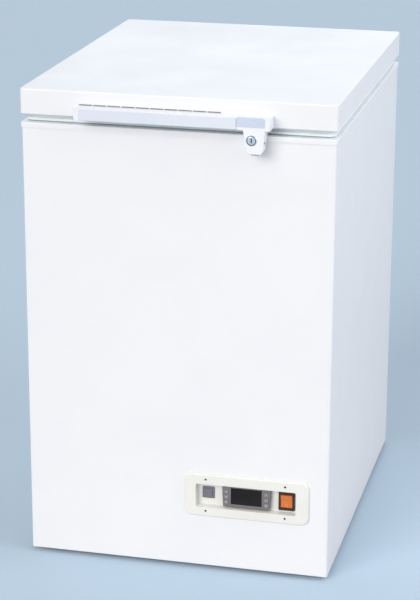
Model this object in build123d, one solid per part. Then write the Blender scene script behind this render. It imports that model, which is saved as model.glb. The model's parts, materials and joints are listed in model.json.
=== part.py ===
from build123d import *
import math
import os

# Small chest freezer for very low temperatures, in millimetres.
# X runs to the right seen from the front, the front faces -Y, and Z runs up from the floor.
# The origin is on the floor, in the middle of the box that holds the whole freezer.

# Envelope over the rim and the closed lid
freezer_width = 550.0
freezer_depth = 680.0
freezer_height = 860.0
rim_overhang = 2.0
corner_radius = 5.0

# Heights of the bands at the top, and the clearance under the base
lid_height = 44.0
gasket_gap = 15.0
rim_skirt = 9.0
foot_height = 8.0

# Sheet metal
sheet = 1.0
rim_sheet = 1.8
deck_sheet = 1.5
back_flange = 16.0
bottom_flange = 14.0
top_flange = 24.0
rim_width = 38.0
fit_gap = 0.2
pan_edge = 20.0

# Screws that hold the back grille and the hinges
screw_shank = 2.0
screw_head = 4.0
screw_head_height = 2.2
grille_screw_inset = 9.0
hinge_screw_inset = 12.0

# Storage chamber and the insulation round it
side_wall = 72.5
end_wall = 95.0
floor_wall = 84.5
chamber_corner = 15.0
chamber_floor_radius = 8.0
tank_wall = 1.2
tank_flange = 14.0
breaker_thickness = 3.0
breaker_bevel = 1.5

# Evaporator: flat tube wound round the tank
coil_turns = 6
coil_tube_height = 10.0
coil_tube_depth = 5.0
coil_gap = 0.3
coil_start = 30.0
coil_top_margin = 155.0
coil_end = 37.5

# Temperature probe on the chamber's back wall
probe_radius = 3.0
probe_length = 90.0
probe_from_side = 82.5
probe_below_plug = 119.0
probe_clip_height = 8.0
probe_clip_inset = 15.0

# Access port through the back wall
port_x = 0.0
port_below_rim = 59.0
port_bore = 11.0
port_wall = 3.0
port_flange = 19.0
port_flange_thickness = 3.0
plug_head_length = 9.0
plug_stem_length = 36.0
plug_head_round = 3.0

# Machine compartment
compartment_top = 290.0
compressor_from_side = 144.0
compressor_from_back = 175.0
compressor_radius = 74.0
compressor_height = 176.0
seam_rise = 84.5
seam_width = 5.0
dome_foot_radius = 28.0
dome_top_radius = 46.0
foot_plate_width = 200.0
foot_plate_length = 140.0
foot_plate_thickness = 3.0
foot_plate_corner = 16.0
grommet_height = 14.0
grommet_radius = 12.0
grommet_neck = 6.0
grommet_lip = 3.0
mount_spacing_x = 170.0
mount_spacing_y = 108.0
stub_length = 12.0
stub_wall = 1.0
port_rise = 60.0
terminal_width = 62.0
terminal_height = 58.0
terminal_rise = 18.0
terminal_depth = 26.0
terminal_round = 3.0

condenser_from_compressor = 160.0
condenser_from_side = 40.0
condenser_headroom = 59.5
condenser_depth = 44.0
condenser_from_back = 20.0
condenser_foot = 12.0
fin_pitch = 10.0
fin_thickness = 1.0
fin_core = 16.0
condenser_runs = 4
condenser_run_margin = 29.0
condenser_tube_radius = 4.75
tube_fit = 0.05
condenser_tube_out = 10.0

# Refrigerant pipes
pipe_radius = 3.2
pipe_bend = 12.0
capillary_radius = 1.5
riser_end = 8.0
suction_from_compressor = 22.0
suction_foot = 13.2
discharge_turn = 16.0
drier_from_condenser = 30.0
drier_before_condenser = 40.0
drier_rise = 26.0
drier_radius = 12.0
drier_length = 90.0
drier_neck = 8.0
drier_shoulder = 10.0

# Fan, its shroud and its motor
fan_margin = 10.0
fan_hub_radius = 25.0
fan_hub_length = 24.0
fan_blades_count = 5
fan_blade_thickness = 1.6
fan_tip_gap = 4.0
fan_from_condenser = 6.0
fan_hub_round = 4.0
fan_shaft_radius = 4.0
blade_overlap = 4.0
blade_root_chord = 26.0
blade_middle_chord = 46.0
blade_tip_chord = 58.0
blade_root_pitch = 38.0
blade_middle_pitch = 28.0
blade_tip_pitch = 20.0
shroud_sheet = 1.2
shroud_depth = 34.0
collar_depth = 20.0
bracket_sheet = 2.0
bracket_arm = 14.0
bracket_arms = 3
bracket_reach = 8.0
bracket_pad = 12.0
bracket_hub = 28.5
motor_radius = 38.0
motor_length = 52.0
motor_gap = 6.0
motor_round = 6.0
motor_ribs = 8
motor_rib_width = 3.0
motor_rib_height = 2.5
motor_rib_inset = 6.0

# Relay box on the base pan
relay_box_width = 170.0
relay_box_length = 110.0
relay_box_height = 76.0
relay_box_behind_front = 36.0
relay_lid_overlap = 2.0
relay_lid_thickness = 3.0

# Feet
foot_radius = 17.0
foot_inset = 62.0
foot_bevel = 2.0
foot_waist = 4.0

# Back grille
louvre_from_left = 149.0
louvre_from_right = 41.0
louvre_gap = 20.0
louvre_rows = 10
louvre_height = 13.0
louvre_depth = 6.0
louvre_first = 42.0
louvre_headroom = 28.0

# Power inlet on the back grille
inlet_from_side = 83.0
inlet_z = 62.0
inlet_flange_width = 48.0
inlet_flange_height = 28.0
inlet_flange_thickness = 3.0
inlet_width = 28.0
inlet_height = 20.0
inlet_depth = 24.0
inlet_wall = 2.0
inlet_pin_width = 2.0
inlet_pin_height = 4.0
inlet_pin_spacing = 7.0
inlet_pin_rise = 2.5
inlet_pin_drop = 1.5

# Lid
lid_sheet = 1.0
lid_edge_radius = 3.0
lid_return = 26.0
liner_wall = 2.5
liner_inset = 5.0
plug_depth = 32.0
plug_clearance = 4.0
plug_draft = 4.0
gasket_front_inset = 14.0
gasket_side_inset = 7.0
gasket_width = 15.0
gasket_neck = 7.0
gasket_corner = 12.0
gasket_neck_corner = 10.0
gasket_root_share = 0.25
gasket_bulb_share = 0.45
gasket_seat_gap = 0.3

# Lid hinges
hinge_spacing = 330.0
pivot_behind = 15.0
knuckle_radius = 10.0
knuckle_width = 15.0
leaf_knuckle_width = 28.0
spring_space = 24.0
hinge_play = 0.5
leaf_thickness = 3.0
bracket_height = 56.0
leaf_height = 34.0
leaf_rise = 5.0
leaf_screw_drop = 9.0
bracket_screw_rise = 10.0
bracket_screw_drop = 24.0
pin_radius = 4.0
pin_head = 2.0
pin_head_length = 2.5
pin_end = 1.5
pin_clearance = 0.12
spring_wire = 2.2
spring_turns = 8
spring_mean_radius = 6.2
spring_cup_depth = 4.0
spring_cup_gap = 0.6
spring_end_gap = 0.6

# Handle along the front of the lid
handle_from_left = 104.5
handle_from_right = 108.0
handle_proud = 30.0
handle_height = 20.0
handle_wall = 3.5
handle_cap = 9.0
handle_round = 3.0
handle_cap_round = 2.0
strip_thickness = 2.0
strip_inset = 0.5
strip_bevel = 0.4
strip_lock_gap = 1.6

# Lock at the right end of the handle
lock_length = 56.0
lock_block_inset = 8.3
lock_block_rise = 1.4
lock_block_bottom = 5.0
lock_block_thickness = 2.5
lock_block_proud = 0.4
lock_block_round = 4.0
lock_block_bevel = 0.5
lock_end_round = 3.0
tongue_length = 40.4
tongue_left = 16.0
tongue_right = 23.5
tongue_taper_left = 9.0
tongue_taper_right = 6.0
tongue_round = 5.0
tongue_edge = 1.2
tongue_wall = 3.0
tongue_back_gap = 2.3
barrel_from_end = 31.0
barrel_below_lid = 16.9
barrel_radius = 8.5
barrel_flange_radius = 9.2
barrel_flange = 1.2
barrel_bevel = 0.5
barrel_back = 14.0
barrel_clearance = 0.15
barrel_tail = 6.0
keyway_width = 2.0
keyway_height = 8.0
keyway_depth = 9.0
cam_reach = 14.0
cam_width = 7.0
cam_thickness = 3.0
keeper_sheet = 2.0
keeper_left = 3.0
keeper_right = 13.5
keeper_base_left = 9.0
keeper_lip_start = 7.5
keeper_lip_gap = 1.3
keeper_front_gap = 0.3
keeper_base_height = 12.0
keeper_base_round = 2.0
keeper_base_drop = 19.0
keeper_riser_gap = 0.6
keeper_bend_rise = 2.0
keeper_bend_drop = 4.0

# Control panel low on the front
panel_from_side = 147.0
panel_z = 144.5
panel_width = 226.0
panel_height = 81.0
panel_corner = 15.0
panel_proud = 4.5
panel_pillow = 3.0
recess_left = 0.5
recess_drop = 1.0
recess_width = 181.0
recess_height = 44.0
recess_corner = 3.0
recess_depth = 13.0
recess_draft = 5.0
tray_wall = 2.0
panel_screw_left = 1.3
panel_screw_x = 143.0
panel_screw_z = 60.0
panel_screw_radius = 2.0
panel_screw_shank = 1.2
panel_screw_seat = 2.4
panel_screw_sunk = 0.6

controller_drop = 0.3
controller_width = 88.0
controller_height = 38.0
controller_taper = 2.0
controller_body_width = 71.0
controller_body_height = 29.0
controller_body_depth = 58.0
faceplate_depth = 9.0
faceplate_round = 2.0
faceplate_bevel = 0.6
window_width = 56.0
window_height = 31.0
window_rise = 2.0
window_thickness = 1.5
key_width = 8.0
key_height = 7.0
key_pitch = 10.0
key_offset = 36.0
key_depth = 3.5
key_proud = 0.7
key_travel = 0.6
key_gap = 0.3
key_corner = 0.8
key_bevel = 0.3

mute_left = 70.2
mute_rise = 1.8
mute_frame_size = 21.5
mute_frame_depth = 3.0
mute_frame_round = 1.0
mute_frame_bevel = 0.6
mute_body_size = 18.0
mute_body_depth = 22.0
mute_cap_size = 14.6
mute_cap_length = 12.0
mute_proud = 1.2
mute_travel = 1.5
mute_cap_round = 0.8

switch_right = 71.5
switch_drop = 0.3
switch_frame_width = 29.0
switch_frame_height = 36.0
switch_frame_depth = 4.0
switch_frame_round = 1.5
switch_frame_bevel = 0.8
switch_body_width = 25.0
switch_body_height = 31.0
switch_body_depth = 26.0
rocker_width = 20.5
rocker_height = 25.0
rocker_tilt = 7.0
rocker_pivot_depth = 4.0
rocker_pivot_radius = 1.5
rocker_pivot_length = 1.5
rocker_pivot_gap = 0.15
rocker_gap = 0.4
rocker_edge_proud = 4.6
rocker_middle_proud = 3.4
rocker_side_depth = 1.0
rocker_back_depth = 7.0
rocker_back_half = 4.0
rocker_well_depth = 12.0

# Values worked out from the ones above
lid_bottom = freezer_height - lid_height
rim_top = lid_bottom - gasket_gap
rim_bottom = rim_top - rim_skirt
front_proud = handle_proud + barrel_flange
rear_proud = pivot_behind + knuckle_radius
cabinet_y = (front_proud - rear_proud) / 2
lid_front = cabinet_y - freezer_depth / 2
lid_back = cabinet_y + freezer_depth / 2
body_front = lid_front + rim_overhang
body_back = lid_back - rim_overhang
body_width = freezer_width - 2 * rim_overhang
inner_front = body_front + sheet
inner_back = body_back - sheet
inner_width = body_width - 2 * sheet
shell_top = rim_top - rim_sheet
pan_bottom = foot_height + sheet
pan_top = pan_bottom + deck_sheet
deck_top = compartment_top + deck_sheet
chamber_width = freezer_width - 2 * side_wall
chamber_front = lid_front + end_wall
chamber_back = lid_back - end_wall
chamber_length = chamber_back - chamber_front
chamber_floor = deck_top + floor_wall
chamber_depth = rim_top - chamber_floor
coil_pitch = (chamber_depth - coil_start - coil_tube_height - coil_top_margin) / (coil_turns - 1)
coil_rear_run = chamber_width - 2 * (chamber_corner + coil_end)
tank_top = rim_top - breaker_thickness
foam_top = tank_top - tank_wall
hinge_y = lid_back + pivot_behind
hinge_z = (rim_top + lid_bottom) / 2
barrel_x = freezer_width / 2 - handle_from_right - barrel_from_end
barrel_z = lid_bottom - barrel_below_lid
recess_floor = body_front - panel_proud + recess_depth
liner_bottom = lid_bottom - liner_wall
plug_bottom = rim_top - plug_depth
probe_x = probe_from_side - chamber_width / 2
probe_z = plug_bottom - probe_below_plug - probe_length
port_z = rim_top - port_below_rim
handle_left = handle_from_left - freezer_width / 2
handle_right = freezer_width / 2 - handle_from_right
handle_front = lid_front - handle_proud
handle_top = lid_bottom + handle_height
lock_left = handle_right - lock_length
lock_block_right = handle_right - lock_block_inset
panel_x = body_width / 2 - panel_from_side
recess_x = panel_x - recess_left
recess_z = panel_z - recess_drop
controller_x = panel_x
controller_z = panel_z - controller_drop
mute_x = panel_x - mute_left
mute_z = panel_z + mute_rise
switch_x = panel_x + switch_right
switch_z = panel_z - switch_drop
faceplate_front = recess_floor - faceplate_depth
mute_frame_front = recess_floor - mute_frame_depth
switch_front = recess_floor - switch_frame_depth
rocker_pivot_y = switch_front + rocker_pivot_depth
condenser_back = body_back - condenser_from_back
condenser_front = condenser_back - condenser_depth
condenser_middle = condenser_back - condenser_depth / 2
condenser_bottom = pan_top + condenser_foot
condenser_top = compartment_top - condenser_headroom
condenser_height = condenser_top - condenser_bottom
compressor_x = compressor_from_side - inner_width / 2
condenser_left = compressor_x + condenser_from_compressor
condenser_width = inner_width / 2 - condenser_from_side - condenser_left
first_run = condenser_bottom + condenser_run_margin
last_run = condenser_top - condenser_run_margin
condenser_run_pitch = (last_run - first_run) / (condenser_runs - 1)
fan_radius = min(condenser_width, condenser_height) / 2 - fan_margin
fan_x = condenser_left + condenser_width / 2
fan_z = condenser_bottom + condenser_height / 2
fan_back = condenser_front - fan_from_condenser
shroud_front = condenser_front - shroud_depth
bracket_front = shroud_front - motor_gap - bracket_sheet
compressor_y = body_back - compressor_from_back
compressor_bottom = pan_top + grommet_height + foot_plate_thickness
port_height = compressor_bottom + port_rise
suction_x = compressor_x - compressor_radius - suction_from_compressor
louvre_width = (body_width - louvre_from_left - louvre_gap - louvre_from_right) / 2
louvre_pitch = (compartment_top - louvre_headroom - louvre_height - louvre_first) / (louvre_rows - 1)
inlet_x = inlet_from_side - body_width / 2
drier_x = condenser_left - drier_from_condenser
drier_y = condenser_front - drier_before_condenser


def outline(*points):
    return make_face(Polyline(*points, close=True))


def plan_block(width, front, back, low, high, radius=0.0, middle=0.0):
    """A block with a rounded rectangle in plan, from low to high."""
    length = back - front
    shape = RectangleRounded(width, length, radius) if radius else Rectangle(width, length)
    place = Plane.XY.offset(low) * Pos(middle, (front + back) / 2)
    return extrude(place * shape, high - low)


def upright(y):
    """The upright plane at depth y, with its normal towards the front."""
    return Plane(origin=(0, y, 0), x_dir=(1, 0, 0), z_dir=(0, -1, 0))


def side_plane(x):
    """The upright plane at x that runs from front to back, with its normal to the right."""
    return Plane(origin=(x, 0, 0), x_dir=(0, 1, 0), z_dir=(1, 0, 0))


def front_block(width, height, x, z, back, front, radius=0.0):
    """A block with a rounded rectangle seen from the front, from depth back to depth front."""
    shape = RectangleRounded(width, height, radius) if radius else Rectangle(width, height)
    return extrude(upright(back) * Pos(x, z) * shape, back - front)


def front_cylinder(radius, x, z, back, front):
    return extrude(upright(back) * Pos(x, z) * Circle(radius), back - front)


def cross_cylinder(radius, y, z, left, right):
    """A cylinder along X from left to right."""
    return extrude(side_plane(left) * Pos(y, z) * Circle(radius), right - left)


def cylinder_up(radius, x, y, low, high):
    return extrude(Plane.XY.offset(low) * Pos(x, y) * Circle(radius), high - low)


def top_edges(solid):
    return solid.edges().group_by(Axis.Z)[-1]


def bottom_edges(solid):
    return solid.edges().group_by(Axis.Z)[0]


def front_edges(solid):
    return solid.edges().group_by(Axis.Y)[0]


def group(solids):
    """Several separate solids in one node."""
    return Compound([solid for shape in solids for solid in shape.solids()])


def tube_along(points, radius, bend):
    """A round tube along straight runs joined by arcs."""
    path = FilletPolyline(*points, radius=bend)
    return sweep(Plane(path @ 0, z_dir=path % 0) * Circle(radius), path=path)


os.makedirs("parts", exist_ok=True)


def save(name, shape):
    export_step(shape, f"parts/{name}.step")


# Cabinet sheets

def cabinet_shell():
    """Sheet wrapper: front and sides in one piece, with folded flanges at the back, top and bottom."""
    outer = plan_block(body_width, body_front, body_back, foot_height, shell_top, corner_radius)
    inner = plan_block(inner_width, inner_front, inner_back, foot_height + sheet, shell_top - sheet,
                       corner_radius - sheet)
    shell = outer - inner
    back_opening = plan_block(body_width - 2 * back_flange, inner_back - sheet, body_back + sheet,
                              foot_height - sheet, shell_top + sheet)
    bottom_opening = plan_block(body_width - 2 * bottom_flange, body_front + bottom_flange,
                                body_back + sheet, foot_height - sheet, foot_height + 2 * sheet)
    top_opening = plan_block(body_width - 2 * top_flange, body_front + top_flange,
                             body_back - top_flange, shell_top - 2 * sheet, shell_top + sheet)
    shell = shell - back_opening - bottom_opening - top_opening
    tray_width = recess_width + 2 * (tray_wall + fit_gap)
    tray_height = recess_height + 2 * (tray_wall + fit_gap)
    cut_out = front_block(tray_width, tray_height, recess_x, recess_z, inner_front + sheet,
                          body_front - sheet, recess_corner + tray_wall)
    return shell - cut_out - grille_screw_holes()


def back_panel():
    """Sheet behind the insulation, inside the wrapper's back flanges."""
    width = body_width - 2 * corner_radius
    panel = plan_block(width, inner_back - sheet, inner_back, compartment_top, shell_top - sheet)
    for x, z in bracket_screw_places():
        panel = panel - front_cylinder(screw_shank + fit_gap, x, z, inner_back + 1, inner_back - 2 * sheet)
    port = front_cylinder(port_bore + port_wall + fit_gap, port_x, port_z, body_back, inner_back - 2 * sheet)
    return panel - port


def louvre(x, z):
    """The outer and inner wedge of one pressed hood, open downwards."""
    wall = body_back + sheet
    left = x - louvre_width / 2
    outer = outline((wall, z), (wall, z + louvre_height), (wall + louvre_depth, z))
    inner = outline((body_back - sheet, z - sheet), (body_back - sheet, z + louvre_height - 3 * sheet),
                    (wall, z + louvre_height - 3 * sheet), (wall + louvre_depth - 1.5 * sheet, z + sheet / 2),
                    (wall + louvre_depth - 1.5 * sheet, z - sheet))
    hood = extrude(side_plane(left) * outer, louvre_width)
    hollow = extrude(side_plane(left + sheet) * inner, louvre_width - 2 * sheet)
    below = plan_block(louvre_width, wall, wall + louvre_depth + sheet, z - 2 * sheet, z, middle=x)
    return hood, hollow - below


def rear_grille():
    """Louvred cover over the back of the machine compartment."""
    low = foot_height + sheet
    panel = plan_block(body_width - 2 * corner_radius, body_back, body_back + sheet, low, compartment_top)
    right = (body_width - louvre_width) / 2 - louvre_from_right
    columns = (right - louvre_width - louvre_gap, right)
    places = [(x, louvre_first + row * louvre_pitch) for x in columns for row in range(louvre_rows)]
    hoods = [louvre(x, z) for x, z in places]
    for hood, hollow in hoods:
        panel = panel + hood
    for hood, hollow in hoods:
        panel = panel - hollow
    panel = panel - inlet_hole()
    return panel - grille_screw_holes()


def grille_screw_places():
    x = body_width / 2 - grille_screw_inset
    low = foot_height + 3 * grille_screw_inset
    high = compartment_top - 2 * grille_screw_inset
    return [(side * x, z) for side in (-1, 1) for z in (low, (low + high) / 2, high)]


def grille_screw_holes():
    return group([front_cylinder(screw_shank + fit_gap, x, z, body_back + 2 * sheet, inner_back - sheet)
                  for x, z in grille_screw_places()])


def back_screw(x, z, seat, shank_length):
    """A button-head screw driven from behind, with its head on the plane seat."""
    profile = outline((0, -shank_length), (screw_shank, -shank_length), (screw_shank, 0), (screw_head, 0),
                      (screw_head * 0.6, screw_head_height), (0, screw_head_height))
    screw = revolve(Plane.XZ * profile, Axis.Z)
    return Plane(origin=(x, seat, z), x_dir=(1, 0, 0), z_dir=(0, 1, 0)) * screw


def body_screws():
    grille = [back_screw(x, z, body_back + sheet, 2 * sheet) for x, z in grille_screw_places()]
    hinges = [back_screw(x, z, inner_back + leaf_thickness, leaf_thickness + sheet)
              for x, z in bracket_screw_places()]
    return group(grille + hinges)


def base_pan():
    """Tray in the bottom, with its edges turned up inside the wrapper."""
    outer = plan_block(inner_width - 2 * fit_gap, inner_front + fit_gap, inner_back - fit_gap, pan_bottom,
                       pan_bottom + pan_edge, corner_radius - sheet)
    inside = plan_block(inner_width - 2 * fit_gap - 2 * deck_sheet, inner_front + fit_gap + deck_sheet,
                        inner_back - fit_gap - deck_sheet, pan_top, pan_bottom + pan_edge + sheet,
                        corner_radius - sheet - deck_sheet)
    return outer - inside


def feet():
    """Four low glides under the base pan."""
    profile = outline((0, 0), (foot_radius - foot_bevel, 0), (foot_radius, foot_bevel),
                      (foot_radius, 2 * foot_bevel), (foot_radius - foot_waist, pan_bottom), (0, pan_bottom))
    glide = revolve(Plane.XZ * profile, Axis.Z)
    x = body_width / 2 - foot_inset
    ends = (body_front + foot_inset, body_back - foot_inset)
    return group([Pos(side * x, y, 0) * glide for side in (-1, 1) for y in ends])


def machine_deck():
    """Deck that carries the insulated box, with flanges down against the wrapper's sides."""
    outer = plan_block(inner_width - 2 * fit_gap, inner_front + fit_gap, inner_back - sheet,
                       compartment_top - pan_edge, deck_top, corner_radius - sheet)
    inside = plan_block(inner_width - 2 * fit_gap - 2 * deck_sheet, inner_front - sheet, inner_back + sheet,
                        compartment_top - pan_edge - sheet, compartment_top)
    deck = outer - inside
    for x, y, radius in riser_places():
        deck = deck - cylinder_up(radius + fit_gap, x, y, compartment_top - sheet, deck_top + sheet)
    return deck


# Rim, breaker strip, tank and insulation

def top_rim():
    """Painted frame round the top edge: a flat ledge with a skirt over the wrapper."""
    outer = plan_block(freezer_width, lid_front, lid_back, rim_bottom, rim_top, corner_radius + rim_overhang)
    outer = fillet(top_edges(outer), rim_sheet * 0.8)
    under = plan_block(freezer_width - 2 * rim_sheet, lid_front + rim_sheet, lid_back - rim_sheet,
                       rim_bottom - sheet, shell_top, corner_radius + fit_gap)
    opening = plan_block(freezer_width - 2 * rim_width, lid_front + rim_width, lid_back - rim_width,
                         rim_bottom, rim_top + sheet, corner_radius)
    return outer - under - opening


def breaker_strip():
    """Plastic ledge between the rim and the chamber, which stops the cold at the edge."""
    outer = plan_block(freezer_width - 2 * rim_width - 2 * fit_gap, lid_front + rim_width + fit_gap,
                       lid_back - rim_width - fit_gap, tank_top, rim_top, corner_radius - fit_gap)
    opening = plan_block(chamber_width, chamber_front, chamber_back, tank_top - sheet, rim_top + sheet,
                         chamber_corner)
    strip = outer - opening
    mouth = top_edges(strip).filter_by_position(Axis.X, -chamber_width / 2 - 1, chamber_width / 2 + 1)
    mouth = mouth.filter_by_position(Axis.Y, chamber_front - 1, chamber_back + 1)
    return chamfer(mouth, breaker_bevel)


def tank_block(wall, top):
    """The chamber's form with a wall round it, its floor edge rounded."""
    block = plan_block(chamber_width + 2 * wall, chamber_front - wall, chamber_back + wall,
                       chamber_floor - wall, top, chamber_corner + wall)
    return fillet(bottom_edges(block), chamber_floor_radius + wall)


def inner_tank():
    """Open tank with a flange turned out at the top."""
    flange = plan_block(chamber_width + 2 * tank_flange, chamber_front - tank_flange,
                        chamber_back + tank_flange, foam_top, tank_top, chamber_corner + tank_flange)
    tank = tank_block(tank_wall, tank_top) + flange - tank_block(0, tank_top + sheet)
    port = front_cylinder(port_bore + port_wall + fit_gap, port_x, port_z, chamber_back + 2 * tank_flange,
                          chamber_back - tank_flange)
    return tank - port


def coil_band(turn):
    """Height of one turn of the evaporator."""
    return chamber_floor + coil_start + turn * coil_pitch


def evaporator_coil():
    """Flat tube in turns round the tank, each stepping up to the next along the back."""
    near = tank_wall + coil_gap
    far = near + coil_tube_depth
    run = coil_rear_run / 2
    back = chamber_back + near
    coil = None
    for turn in range(coil_turns):
        low = coil_band(turn)
        high = low + coil_tube_height
        outer = plan_block(chamber_width + 2 * far, chamber_front - far, chamber_back + far, low, high,
                           chamber_corner + far)
        inner = plan_block(chamber_width + 2 * near, chamber_front - near, chamber_back + near, low, high,
                           chamber_corner + near)
        gap = plan_block(coil_rear_run, chamber_back, chamber_back + 2 * far, low, high)
        piece = outer - inner - gap
        if turn < coil_turns - 1:
            step = outline((-run, low), (-run, high), (run, high + coil_pitch), (run, low + coil_pitch))
            piece = piece + extrude(upright(back + coil_tube_depth) * step, coil_tube_depth)
        coil = piece if coil is None else coil + piece
    return coil


def cabinet_foam():
    """Insulation between the tank and the sheets, with room for the coil and the port."""
    block = plan_block(inner_width, inner_front, inner_back - sheet, deck_top, foam_top,
                       corner_radius - sheet)
    jacket_wall = tank_wall + coil_gap + coil_tube_depth + coil_gap
    jacket_top = coil_band(coil_turns - 1) + coil_tube_height + coil_gap
    jacket = plan_block(chamber_width + 2 * jacket_wall, chamber_front - jacket_wall,
                        chamber_back + jacket_wall, coil_band(0) - coil_gap, jacket_top,
                        chamber_corner + jacket_wall)
    port = front_cylinder(port_bore + port_wall + fit_gap, port_x, port_z, body_back, chamber_back)
    foam = block - tank_block(tank_wall, foam_top + sheet) - jacket - port
    for x, y, radius in riser_places():
        foam = foam - cylinder_up(radius + fit_gap, x, y, deck_top - sheet, deck_top + riser_end + fit_gap)
    return foam


def temperature_probe():
    """Sensor tube clipped to the chamber's back wall."""
    y = chamber_back - probe_radius - fit_gap
    tube = cylinder_up(probe_radius, probe_x, y, probe_z, probe_z + probe_length)
    tube = fillet(bottom_edges(tube), probe_radius * 0.7)
    heights = (probe_z + probe_clip_inset, probe_z + probe_length - probe_clip_inset - probe_clip_height)
    clips = [plan_block(4 * probe_radius, chamber_back - 2.6 * probe_radius, chamber_back, z,
                        z + probe_clip_height, probe_radius * 0.6, probe_x) for z in heights]
    return tube + clips


def port_sleeve():
    """Lining of the access port, with a flange on the back panel."""
    tube = front_cylinder(port_bore + port_wall, port_x, port_z, inner_back, chamber_back)
    flange = front_cylinder(port_flange, port_x, port_z, inner_back + port_flange_thickness, inner_back)
    through = front_cylinder(port_bore, port_x, port_z, inner_back + 2 * port_flange_thickness,
                             chamber_back - tank_wall)
    return tube + flange - through


def port_plug():
    """Rubber plug pushed into the port from the back."""
    seat = inner_back + port_flange_thickness
    radius = port_bore - 2 * fit_gap
    stem = front_cylinder(radius, port_x, port_z, seat, seat - plug_stem_length)
    head = front_cylinder(port_flange - port_wall, port_x, port_z, seat + plug_head_length, seat)
    head = fillet(head.edges().group_by(Axis.Y)[-1], plug_head_round)
    return stem + head


# Machine compartment

def riser_places():
    """Where pipes go up through the deck, with their radii."""
    return [(suction_x, compressor_y, pipe_radius), (drier_x, drier_y, capillary_radius)]


def mount_places():
    return [(compressor_x + sx * mount_spacing_x / 2, compressor_y + sy * mount_spacing_y / 2)
            for sx in (-1, 1) for sy in (-1, 1)]


def compressor():
    """Hermetic compressor: two pressed domes welded at a flange, on a four-eared plate."""
    r = compressor_radius
    h = compressor_height
    half = outline((0, 0), (r, 0), (r, seam_rise), (r + seam_width, seam_rise),
                   (r + seam_width, seam_rise + seam_width), (r, seam_rise + seam_width), (r, h), (0, h))
    foot = half.vertices().sort_by(Axis.Y)[0:2].sort_by(Axis.X)[-1]
    half = fillet(foot, dome_foot_radius)
    shoulder = half.vertices().sort_by(Axis.Y)[-2:].sort_by(Axis.X)[-1]
    half = fillet(shoulder, dome_top_radius)
    body = revolve(Plane.XZ * half, Axis.Z)
    plate = RectangleRounded(foot_plate_width, foot_plate_length, foot_plate_corner)
    plate = extrude(plate, -foot_plate_thickness)
    unit = Pos(compressor_x, compressor_y, compressor_bottom) * (body + plate)
    for x, y in mount_places():
        unit = unit - cylinder_up(grommet_neck + fit_gap, x, y, compressor_bottom - 2 * foot_plate_thickness,
                                  compressor_bottom + sheet)
    stub_radius = pipe_radius + stub_wall
    inside = r * 0.8
    suction = cross_cylinder(stub_radius, compressor_y, port_height, suction_x + suction_foot,
                             compressor_x - inside)
    discharge = cross_cylinder(stub_radius, compressor_y, port_height, compressor_x + inside,
                               compressor_x + r + stub_length)
    return unit + suction + discharge


def compressor_grommets():
    """Rubber mounts under the compressor's plate, each with a neck through its hole."""
    neck = grommet_neck
    top = grommet_height + foot_plate_thickness
    profile = outline((0, 0), (grommet_radius, 0), (grommet_radius * 0.8, grommet_height * 0.5),
                      (grommet_radius, grommet_height), (neck, grommet_height), (neck, top),
                      (neck + grommet_lip, top), (neck + grommet_lip * 0.7, top + grommet_lip),
                      (0, top + grommet_lip))
    grommet = revolve(Plane.XZ * profile, Axis.Z)
    return group([Pos(x, y, pan_top) * grommet for x, y in mount_places()])


def terminal_cover():
    """Cover over the compressor's terminals and start relay, on its front side."""
    near = compressor_y - compressor_radius
    low = compressor_bottom + terminal_rise
    high = low + terminal_height
    block = plan_block(terminal_width, near - terminal_depth, compressor_y - compressor_radius * 0.7, low,
                       high, terminal_round, compressor_x)
    block = fillet(front_edges(block), terminal_round)
    shell = cylinder_up(compressor_radius + fit_gap, compressor_x, compressor_y, low - sheet, high + sheet)
    return block - shell


def run_heights():
    """Heights of the tube's straight runs through the fins."""
    return [first_run + index * condenser_run_pitch for index in range(condenser_runs)]


def condenser_fins():
    """Fin pack between two end plates with feet. The fins stand off a core that holds the tube runs."""
    core = fin_core / 2
    half = condenser_width / 2
    pack = plan_block(condenser_width, condenser_middle - core, condenser_middle + core, condenser_bottom,
                      condenser_top, middle=fan_x)
    for index in range(1, int(condenser_width / fin_pitch)):
        pack = pack + plan_block(fin_thickness, condenser_front, condenser_back, condenser_bottom,
                                 condenser_top, middle=condenser_left + index * fin_pitch)
    for side in (-1, 1):
        pack = pack + plan_block(deck_sheet, condenser_front, condenser_back, pan_top, condenser_top,
                                 middle=fan_x + side * (half - deck_sheet / 2))
        pack = pack + plan_block(2 * condenser_foot, condenser_front, condenser_back, pan_top,
                                 pan_top + deck_sheet, middle=fan_x + side * (half - condenser_foot))
    for z in run_heights():
        pack = pack - cross_cylinder(condenser_tube_radius + tube_fit, condenser_middle, z,
                                     fan_x - half - sheet, fan_x + half + sheet)
    return pack


def condenser_tube():
    """One tube in straight runs through the fin pack, joined by return bends at its ends."""
    y = condenser_middle
    left = condenser_left - condenser_tube_out
    right = condenser_left + condenser_width + condenser_tube_out
    bend = condenser_run_pitch / 2
    pieces = []
    for index, z in enumerate(run_heights()):
        rightwards = index % 2 == 0
        start, end = (left, right) if rightwards else (right, left)
        pieces.append(Line((start, y, z), (end, y, z)))
        if index < condenser_runs - 1:
            out = end + bend if rightwards else end - bend
            pieces.append(ThreePointArc((end, y, z), (out, y, z + bend), (end, y, z + 2 * bend)))
    path = Wire(pieces)
    return sweep(Plane(path @ 0, z_dir=path % 0) * Circle(condenser_tube_radius), path=path)


def around_fan(distance, angle):
    """A place at a distance from the fan's axis, seen from the front."""
    turn = math.radians(angle)
    return fan_x + distance * math.cos(turn), fan_z + distance * math.sin(turn)


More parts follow.
